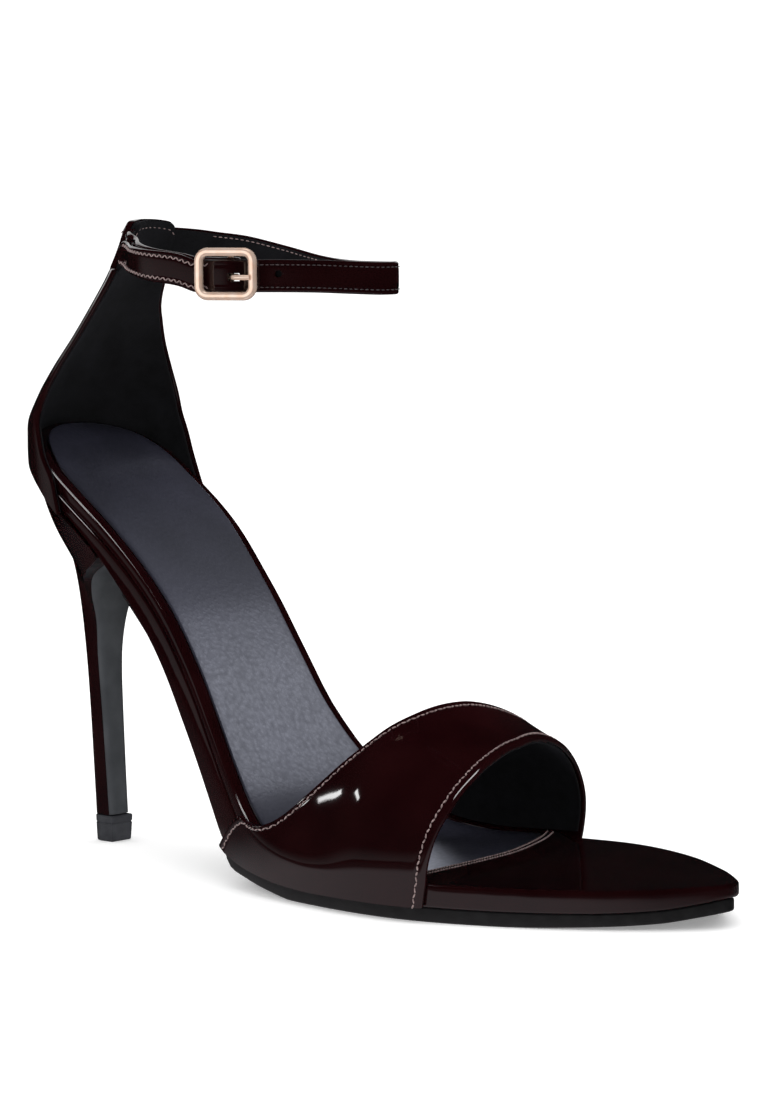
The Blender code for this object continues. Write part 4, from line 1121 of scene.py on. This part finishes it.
def seam_row(ahead):
    """A stitch row across the toe cover, this far in front of its seam."""
    row = []
    for across in np.linspace(0.03, 0.97, 90):
        x = seam(across) + ahead
        lateral, medial = (half_width(x, side, WRAP_EDGE) for side in (0, 1))
        here = Vector((x, -lateral + across * (lateral + medial), cover_top(x, across) + SEAM_THREAD_UP))
        row.append((here, Vector((0, 0, 1))))
    return row


def casing_row(down, outside):
    """A stitch row round the casing, this far below its top."""
    row = []
    deep = COUNTER_WALL / 2 + CASING_SWELL * CASING_THREAD
    for angle in np.linspace(-CASING_LATERAL + 3, CASING_MEDIAL - 4, 50):
        z = casing_top(angle) - down
        here = Vector(counter_point(angle, z, CASING_MIDDLE + (-deep if outside else deep)))
        middle = Vector(counter_point(angle, z, CASING_MIDDLE))
        row.append((here, (here - middle).normalized()))
    return row


# Buckle
FRAME_OUT = 1.7 * MM + STRAP_THICK / 2 + GAP + BUCKLE_THICK / 2    # the frame's middle from the centre bar's
PRONG_NOTCH = 0.7 * MM       # how deep the prong's end lies in the frame's front bar
PRONG_PROUD = 0.35           # millimetres, how far it stands out of that notch
HOLE_CLEAR = 0.35            # millimetres from the prong to the side of its hole
EYE_CLEAR = 1.1              # millimetres from the prong's middle to the side of its eye's slot
CASING_THREAD = 0.93         # how far out the casing's threads lie, of its swell
BAR_SQUARE = 0.7             # 1 is a round bar and 0 a square one
STRAIGHT_UP = 0.2            # a run whose side is shorter than this counts as upright


def rod(name, line, radius, finish, sides=20):
    """A round bar along a line."""
    rings = []
    for i, here in enumerate(line):
        run = (Vector(line[min(i + 1, len(line) - 1)]) - Vector(line[max(i - 1, 0)])).normalized()
        side = run.cross(Vector((0, 0, 1)))
        if side.length < STRAIGHT_UP:
            side = run.cross(BUCKLE_RUN)
        side.normalize()
        up = side.cross(run)
        turns = [2 * pi * k / sides for k in range(sides)]
        rings.append([tuple(Vector(here) + side * radius * cos(t) + up * radius * sin(t)) for t in turns])
    return tube(name, rings, finish, 50)


def box_by_buckle(name, runs, outs, ups, finish):
    """A box placed from the centre bar, in millimetres."""
    corners = [by_buckle(r, o, u) for u in ups for o in outs for r in runs]
    faces = [(0, 1, 3, 2), (4, 6, 7, 5), (0, 4, 5, 1), (2, 3, 7, 6), (0, 2, 6, 4), (1, 5, 7, 3)]
    return piece(name, corners, faces, finish)


def carve(obj, other, operation):
    """Takes a helper away from a piece, or joins it on, and removes the helper."""
    change = obj.modifiers.new("carve", "BOOLEAN")
    change.operation = operation
    change.solver = "EXACT"
    change.object = other
    graph = bpy.context.evaluated_depsgraph_get()
    made = bpy.data.meshes.new_from_object(obj.evaluated_get(graph))
    obj.modifiers.remove(change)
    old, obj.data = obj.data, made
    bpy.data.meshes.remove(old)
    bpy.data.objects.remove(other)


def make_frame(finish):
    """The buckle's frame: a softly squared bar round a rectangle with round corners, and its centre bar."""
    sides, corner_steps = 20, 12
    half_bar, half_thick = BUCKLE_BAR / 2, BUCKLE_THICK / 2
    profile = []
    for k in range(sides):
        turn = 2 * pi * (k + 0.5) / sides
        ways = ((half_bar, cos(turn)), (half_thick, sin(turn)))
        profile.append(tuple(half * np.sign(way) * abs(way) ** BAR_SQUARE for half, way in ways))
    corner = BUCKLE_CORNER - half_bar
    along, tall = BUCKLE_LENGTH / 2 - half_bar - corner, BUCKLE_HEIGHT / 2 - half_bar - corner
    points = []
    for quarter, (sx, sy) in enumerate(((1, 1), (-1, 1), (-1, -1), (1, -1))):
        for k in range(corner_steps):
            turn = pi / 2 * (quarter + k / (corner_steps - 1))
            run, up = sx * along + corner * cos(turn), sy * tall + corner * sin(turn)
            for a, b in profile:
                points.append(by_buckle(
                    (run + cos(turn) * a) / MM, (FRAME_OUT + b) / MM, (up + sin(turn) * a) / MM,
                ))
    made = piece("rose_gold_frame", points, ring_faces(4 * corner_steps, sides, True), finish, 60)
    half = (BUCKLE_HEIGHT - BUCKLE_BAR) / 2 / MM
    out = FRAME_OUT / MM
    line = through([
        by_buckle(0, out - 0.1, -half), by_buckle(0, 0.9, -half), by_buckle(0, 0.25, -half + 0.25),
        by_buckle(0, 0, -half + 0.9), by_buckle(0, 0, half - 0.9), by_buckle(0, 0.25, half - 0.25),
        by_buckle(0, 0.9, half), by_buckle(0, out - 0.1, half),
    ], 4)
    carve(made, rod("centre_bar", line, BAR_RADIUS, finish), "UNION")
    return made


def make_pin(finish):
    """The prong, from its eye up through the strap and across to the frame."""
    drop = -PRONG_DROP / MM
    rest = (FRAME_OUT + BUCKLE_THICK / 2 + PRONG_RADIUS - PRONG_NOTCH) / MM + PRONG_PROUD
    line = through([
        by_buckle(0.9, 1.15, drop), by_buckle(1.5, 2.4, drop), by_buckle(2.0, 3.9, drop),
        by_buckle(2.7, rest - 0.1, drop), by_buckle(4.2, rest + 0.12, drop), by_buckle(6.3, rest, drop),
        by_buckle(6.6, rest - 0.02, drop),
    ], 8)
    return rod("rose_gold_prong", line, PRONG_RADIUS, finish)


def make_eye(finish):
    """The prong's eye, a short ring round the centre bar."""
    drop = -PRONG_DROP / MM
    points, sides = [], 32
    ring = (
        (2.0, -0.6), (1.9, -0.75), (1.2, -0.75), (1.1, -0.65),
        (1.1, 0.65), (1.2, 0.75), (1.9, 0.75), (2.0, 0.6),
    )
    for radius, up in ring:
        for k in range(sides):
            turn = 2 * pi * k / sides
            points.append(by_buckle(radius * cos(turn), radius * sin(turn), drop + up))
    return piece("rose_gold_prong_eye", points, ring_faces(len(ring), sides, True), finish, 60)


# The sandal
def settle(obj, slot, *nodes):
    """A finished piece rides on the one body, and hides the CAD nodes whose place it takes."""
    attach(obj, "root")
    if nodes:
        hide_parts(*nodes)
    return obj


COVER_OUT = 0.12 * MM        # how far the toe cover stands out round the footbed
SHANK_GAP = 0.12 * MM        # between the footbed and the band under it
TUCK = 0.05 * MM             # how far a layer of the sole reaches into the one that carries it
none = lambda _: 0.0
settle(sole_layer(
    "wrapped_footbed", patent, none, lambda a: LENGTH, lambda x, a: footbed_top(x),
    lambda x, a: footbed_under(x), none, WRAP_EDGE, 130,
), "patent", "footbed")
settle(sole_layer(
    "toe_cover", patent, lambda a: seam(a) - 0.5 * MM, lambda a: LENGTH + 0.1 * MM, cover_top,
    lambda x, a: footbed_under(x) - 0.1 * MM, lambda x: -COVER_OUT, WRAP_EDGE, 110, 41,
), "patent")
settle(sole_layer(
    "grained_sock", grained, lambda a: LINING_INSET, lambda a: seam(a) + 0.6 * MM,
    lambda x, a: footbed_top(x) + GAP + LINING, lambda x, a: footbed_top(x) - TUCK,
    lambda x: LINING_INSET, 0.45 * MM, 130,
), "lining", "sock_lining")
settle(sole_layer(
    "shank_wrap", patent, none, lambda a: 0.46 * LENGTH, lambda x, a: footbed_under(x) - SHANK_GAP,
    lambda x, a: shank_under(x), none, WRAP_EDGE, 90, 17,
), "patent", "shank_cover")
run_in = smooth((0, 0.34, 0.41, 1), (WAIST_INSET, WAIST_INSET, OUTSOLE_INSET, OUTSOLE_INSET), 0.02)
settle(sole_layer(
    "rubber_outsole", rubber, lambda a: 0.185 * LENGTH, lambda a: LENGTH - OUTSOLE_INSET,
    lambda x, a: shank_under(x) - TUCK, lambda x, a: outsole_under(x), lambda x: run_in(x / LENGTH),
    0.6 * MM, 120,
), "outsole", "outsole")
settle(make_heel(patent), "patent", "heel")
settle(make_breast(satin), "satin_grey", "heel_breast")
settle(make_lift(lift_finish), "lift", "top_lift")
settle(counter_sheet("heel_cup", patent, 0, 1.25 * MM, 0), "patent", "heel_counter")
settle(counter_sheet(
    "heel_cup_lining", suede, 1.15 * MM, COUNTER_WALL + 0.1 * MM, 0.55 * MM, 0.3 * MM,
), "lining")
settle(casing_sheet("strap_casing", patent, True, 0), "patent")
settle(casing_sheet("strap_casing_lining", suede, False, 0.35 * MM), "lining")
rounds = [
    *np.linspace(0, FLANK, 9)[:-1], *np.linspace(FLANK, 1 - FLANK, 121), *np.linspace(1 - FLANK, 1, 9)[1:],
]
settle(band_sheet("patent_toe_band", patent, 0, BAND_WALL, 0, rounds, GROOVE), "patent", "toe_band")
inside = np.linspace(FLANK + 0.012, 1 - FLANK - 0.012, 101)
settle(band_sheet(
    "toe_band_lining", suede, BAND_WALL - 0.2 * MM, BAND_WALL + 0.45 * MM, 0.75 * MM, inside,
), "lining")

strap = ribbon("patent_ankle_strap", STRAP_LINE, patent, strap_section(), 2.2 * MM)
liner_half, liner_face = STRAP_WIDTH / 2 - 0.55 * MM, STRAP_THICK / 2
liner_side = [(-0.35, 0.0), (0.02, 0.0), (0.12, 0.2)]  # millimetres past the strap's face, in from its rim
liner_section = [(liner_face + deep * MM, -liner_half + rim * MM) for deep, rim in liner_side]
liner_section += [(liner_face + deep * MM, liner_half - rim * MM) for deep, rim in liner_side[::-1]]
liner_line = STRAP_LINE[PART_STARTS[1] - 2 * STRAP_STEPS:PART_STARTS[2] + STRAP_STEPS]
strap_liner = ribbon("ankle_strap_lining", liner_line, suede, liner_section)
drop = -PRONG_DROP / MM
pin = PRONG_RADIUS / MM + HOLE_CLEAR
hole_line = [by_buckle(HOLE_SPACING / MM + 2.2, out) for out in (-3, 4)]
for cutter in (
    box_by_buckle(
        "eye_slot", (-2.5, 3.4), (-3.6, WRAP / MM + 0.95), (drop - EYE_CLEAR, drop + EYE_CLEAR), suede,
    ),
    box_by_buckle("prong_hole", (0.6, 3.5), (2.2, 7.0), (drop - pin, drop + pin), suede),
    rod("spare_hole", hole_line, HOLE_RADIUS, suede),
):
    carve(strap, cutter, "DIFFERENCE")
settle(strap, "patent", "ankle_strap")
settle(strap_liner, "lining")
settle(make_frame(gold), "buckle", "buckle_frame")
settle(make_pin(gold), "buckle", "buckle_prong")
settle(make_eye(gold), "buckle")

stitches = stitch_tree()
settle(sew(
    "toe_band_stitches", stitches, [band_row(band_back, 1), band_row(band_front, -1)], thread,
    Spacing=1.3 * MM, Length=1.25 * MM, Thickness=0.42 * MM, Tilt=radians(20),
), "patent")
settle(sew(
    "toe_seam_stitches", stitches, [seam_row(1.0 * MM), seam_row(2.4 * MM)], thread,
    Spacing=1.1 * MM, Length=0.9 * MM, Thickness=0.38 * MM, Tilt=radians(12),
), "patent")
edge_up = STRAP_WIDTH / 2 - STRAP_STITCH
tail_start, tail_stop = PART_STARTS[3] - 3 * STRAP_STEPS, len(STRAP_LINE) - 5
settle(sew(
    "strap_tail_stitches", stitches,
    [strap_row(tail_start, tail_stop, s * edge_up, -1) for s in (-1, 1)], thread,
    Spacing=0.95 * MM, Length=1.3 * MM, Thickness=0.34 * MM, Tilt=radians(38),
), "patent")
front_start, front_stop = PART_STARTS[1] + 4 * STRAP_STEPS, PART_STARTS[2] + 2 * STRAP_STEPS
settle(sew(
    "strap_edge_stitches", stitches,
    [strap_row(front_start, front_stop, s * edge_up, -1) for s in (-1, 1)], grey_thread,
    Spacing=1.3 * MM, Length=0.95 * MM, Thickness=0.3 * MM,
), "patent")
settle(sew(
    "strap_inner_stitches", stitches,
    [strap_row(PART_STARTS[1] + 9 * STRAP_STEPS, front_stop - 30, s * edge_up, 1, 0.15 * MM) for s in (-1, 1)]
    + [casing_row(2.2 * MM, False)], thread,
    Spacing=1.4 * MM, Length=0.95 * MM, Thickness=0.3 * MM,
), "lining")
settle(sew(
    "casing_stitches", stitches, [casing_row(1.6 * MM, True)], thread,
    Spacing=1.2 * MM, Length=0.9 * MM, Thickness=0.32 * MM,
), "patent")

# Studio: the camera at the photograph's angle
TARGET = Vector((100, 0, 90)) * MM + SHIFT
AZIMUTH, ELEVATION, ROLL, DISTANCE = radians(42.04), radians(4.79), radians(-0.38), 1048 * MM
right = Vector((cos(AZIMUTH), sin(AZIMUTH), 0))
back = Vector((sin(AZIMUTH) * cos(ELEVATION), -cos(AZIMUTH) * cos(ELEVATION), sin(ELEVATION)))
above = back.cross(right)
camera = put("camera", bpy.data.cameras.new("camera"))
across_x = right * cos(ROLL) + above * sin(ROLL)
across_y = above * cos(ROLL) - right * sin(ROLL)
turned = Matrix((across_x, across_y, back)).transposed().to_4x4()
camera.matrix_world = Matrix.Translation(TARGET + back * DISTANCE) @ turned
camera.data.sensor_fit = "VERTICAL"
camera.data.sensor_height = 36
camera.data.lens = 139.07
camera.data.shift_x, camera.data.shift_y = 0.0296, -0.0338
bpy.context.scene.camera = camera
bpy.context.scene.view_settings.view_transform = "Standard"


# Floor: matt white paper, lit so brightly that only the shadow under the shoe shows
def flat_sheet(name, low, high, z, finish):
    """A level rectangle between two corners, given as (x, y)."""
    mesh = bpy.data.meshes.new(name)
    corners = [(*low, z), (high[0], low[1], z), (*high, z), (low[0], high[1], z)]
    mesh.from_pydata(corners, [], [(0, 1, 2, 3)])
    mesh.materials.append(finish)
    finish.cycles.emission_sampling = "NONE"
    return put(name, mesh)


paper = new_finish("white_paper", {
    "Base Color": linear("#f6f6f6"), "Roughness": 0.9, "Specular IOR Level": 0.1,
    "Emission Color": (1, 1, 1, 1), "Emission Strength": 0.25,
})[0]
floor = flat_sheet("floor", (-6.0, -6.0), (6.0, 6.0), 0, paper)
floor.visible_glossy = False

# A glowing sheet just under the floor, seen only in reflections: a painted reflection of the floor, bright
# enough to show only near the shoe
shine, shine_tree, shine_shader, shine_here = new_finish("painted_floor_reflection", {
    "Base Color": (0, 0, 0, 1), "Roughness": 1.0, "Specular IOR Level": 0.0,
    "Emission Color": linear("#f4eef2"),
})
# Painted reflection: the sheet glows strongest round the ball, fades out by 14 cm, and keeps a faint wide rim
# out to 55 cm
from_ball = add(shine_tree, "ShaderNodeVectorMath", {
    0: shine_here, 1: (0.03, -0.07, 0.0),
}, operation="DISTANCE")
near = add(shine_tree, "ShaderNodeMapRange", {
    "Value": from_ball.outputs["Value"], "From Min": 0.06, "From Max": 0.14, "To Min": 0.43, "To Max": 0.0,
}, interpolation_type="SMOOTHSTEP")
wide = add(shine_tree, "ShaderNodeMapRange", {
    "Value": from_ball.outputs["Value"], "From Min": 0.14, "From Max": 0.55, "To Min": 0.05, "To Max": 0.0,
}, interpolation_type="SMOOTHSTEP")
fade = add(shine_tree, "ShaderNodeMath", {
    0: near.outputs["Result"], 1: wide.outputs["Result"],
}, operation="ADD")
feed(shine_tree, shine_shader, {"Emission Strength": fade.outputs[0]})
sheet = flat_sheet("floor_in_the_gloss", (-0.6, -0.8), (0.7, 0.5), -0.5 * MM, shine)
for way_seen in ("visible_camera", "visible_diffuse", "visible_shadow", "visible_transmission"):
    setattr(sheet, way_seen, False)

# Room: white all round for what it lights, nearly black in the gloss but for a haze low on the left
world = bpy.data.worlds.new("studio")
bpy.context.scene.world = world
world.use_nodes = True
room = world.node_tree
room.nodes.clear()
ray = add(room, "ShaderNodeLightPath")
way = add(room, "ShaderNodeTexCoord").outputs["Generated"]
behind = add(room, "ShaderNodeVectorMath", {0: way, 1: tuple(-back)}, operation="DOT_PRODUCT")
far = add(room, "ShaderNodeMapRange", {
    "Value": behind.outputs["Value"], "From Min": 0.3, "From Max": 0.9, "To Min": 0.010, "To Max": 0.005,
})
split = add(room, "ShaderNodeSeparateXYZ", {"Vector": way})
low = add(room, "ShaderNodeMapRange", {
    "Value": split.outputs["Z"], "From Min": 0.25, "From Max": 0.75, "To Min": 1.0, "To Max": 0.15,
})
mirrored = add(room, "ShaderNodeMath", {
    0: far.outputs["Result"], 1: low.outputs["Result"],
}, operation="MULTIPLY")
front_left = add(room, "ShaderNodeVectorMath", {0: way, 1: (-0.6, -0.8, 0.0)}, operation="DOT_PRODUCT")
aside = add(room, "ShaderNodeMapRange", {
    "Value": front_left.outputs["Value"], "From Min": 0.55, "From Max": 0.95,
}, interpolation_type="SMOOTHSTEP")
horizon = add(room, "ShaderNodeMapRange", {
    "Value": split.outputs["Z"], "From Min": -0.05, "From Max": 0.12, "To Min": 0.18, "To Max": 0.0,
}, interpolation_type="SMOOTHSTEP")
haze = add(room, "ShaderNodeMath", {
    0: aside.outputs["Result"], 1: horizon.outputs["Result"],
}, operation="MULTIPLY")
gloss = add(room, "ShaderNodeMath", {0: mirrored.outputs[0], 1: haze.outputs[0]}, operation="ADD")
glow = add(room, "ShaderNodeMix", {
    "Factor": ray.outputs["Is Glossy Ray"], "A": 1.18, "B": gloss.outputs[0],
})
sky = add(room, "ShaderNodeBackground", {"Color": (1, 1, 1, 1), "Strength": glow.outputs["Result"]})
add(room, "ShaderNodeOutputWorld", {"Surface": sky.outputs[0]})
world.cycles.sampling_method = "NONE"


# Lights: soft boxes, most of which light only the pieces whose shine in the photograph they stand for
WHITE, COOL = (1, 1, 1), linear("#e4e8f8")[:3]


def softbox(name, at, towards, size, power, lit=(), tint=WHITE, mirrored=True):
    """An area light at a place, turned towards another; it lights the pieces named, or all where none is."""
    data = bpy.data.lights.new(name, "AREA")
    data.shape = "RECTANGLE"
    data.size, data.size_y = size
    data.energy = power
    data.color = tint
    light = put(name, data)
    light.location = at
    light.rotation_euler = (Vector(towards) - Vector(at)).to_track_quat("-Z", "Y").to_euler()
    light.visible_glossy = mirrored
    if lit:
        light.light_linking.receiver_collection = bpy.data.collections.new(name + "_lights")
        for piece_name in lit:
            light.light_linking.receiver_collection.objects.link(bpy.data.objects[piece_name])


band, insole = ["patent_toe_band"], ["grained_sock"]
buckle = ["rose_gold_frame", "rose_gold_prong", "rose_gold_prong_eye"]
uppers = ["patent_ankle_strap", "heel_cup", "strap_casing"]
arch = ["wrapped_footbed", "shank_wrap", "heel_cup"]
softbox("overhead", (0.0, 0.0, 1.6), (0.0, 0.0, 0.0), (1.2, 1.2), 6.0, mirrored=False)
softbox("band_glint", (-0.82, -0.335, 0.44), (0.02, -0.035, 0.026), (0.15, 0.028), 0.13, band)
softbox("insole_sheen", (0.38, 0.775, 0.71), (-0.03, 0.0, 0.05), (0.35, 0.35), 2.7, insole, COOL)
softbox("insole_seat_sheen", (-0.05, 0.85, 0.88), (-0.06, 0.0, 0.08), (0.3, 0.3), 0.2, insole, COOL)
softbox("insole_glow", (-0.60, 0.77, 0.22), (0.02, 0.0, 0.01), (0.5, 0.3), 0.9, insole, COOL)
softbox("buckle_card", (-0.03, -0.76, 0.15), (-0.03, -0.03, 0.15), (0.6, 0.5), 1.0, buckle)
softbox("buckle_top_card", (0.1, -0.2, 0.9), (-0.03, -0.03, 0.15), (0.5, 0.4), 0.9, buckle)
softbox("edge_card", (-0.42, 0.40, 0.36), (0.0, 0.0, 0.12), (0.7, 0.3), 0.5, uppers)
softbox("band_rim_card", (0.68, 0.09, 0.80), (0.05, -0.02, 0.03), (0.9, 0.35), 8.0, band)
softbox("arch_rim_card", (-0.15, -0.45, 0.95), (-0.06, -0.03, 0.08), (0.25, 0.25), 2.0, arch)
softbox("toe_rim_card", (0.06, -0.03, 1.0), (0.1, 0.0, 0.01), (0.3, 0.3), 2.0, ["wrapped_footbed"])
softbox("heel_side_card", (-0.29, -0.23, 0.06), (-0.09, -0.005, 0.06), (0.07, 0.25), 0.08, ["heel_cover"])
softbox(
    "heel_card", (0.18, -0.22, 0.04), (-0.09, 0.0, 0.03), (0.15, 0.15), 1.1,
    ["heel_front_panel", "moulded_top_lift"], mirrored=False,
)
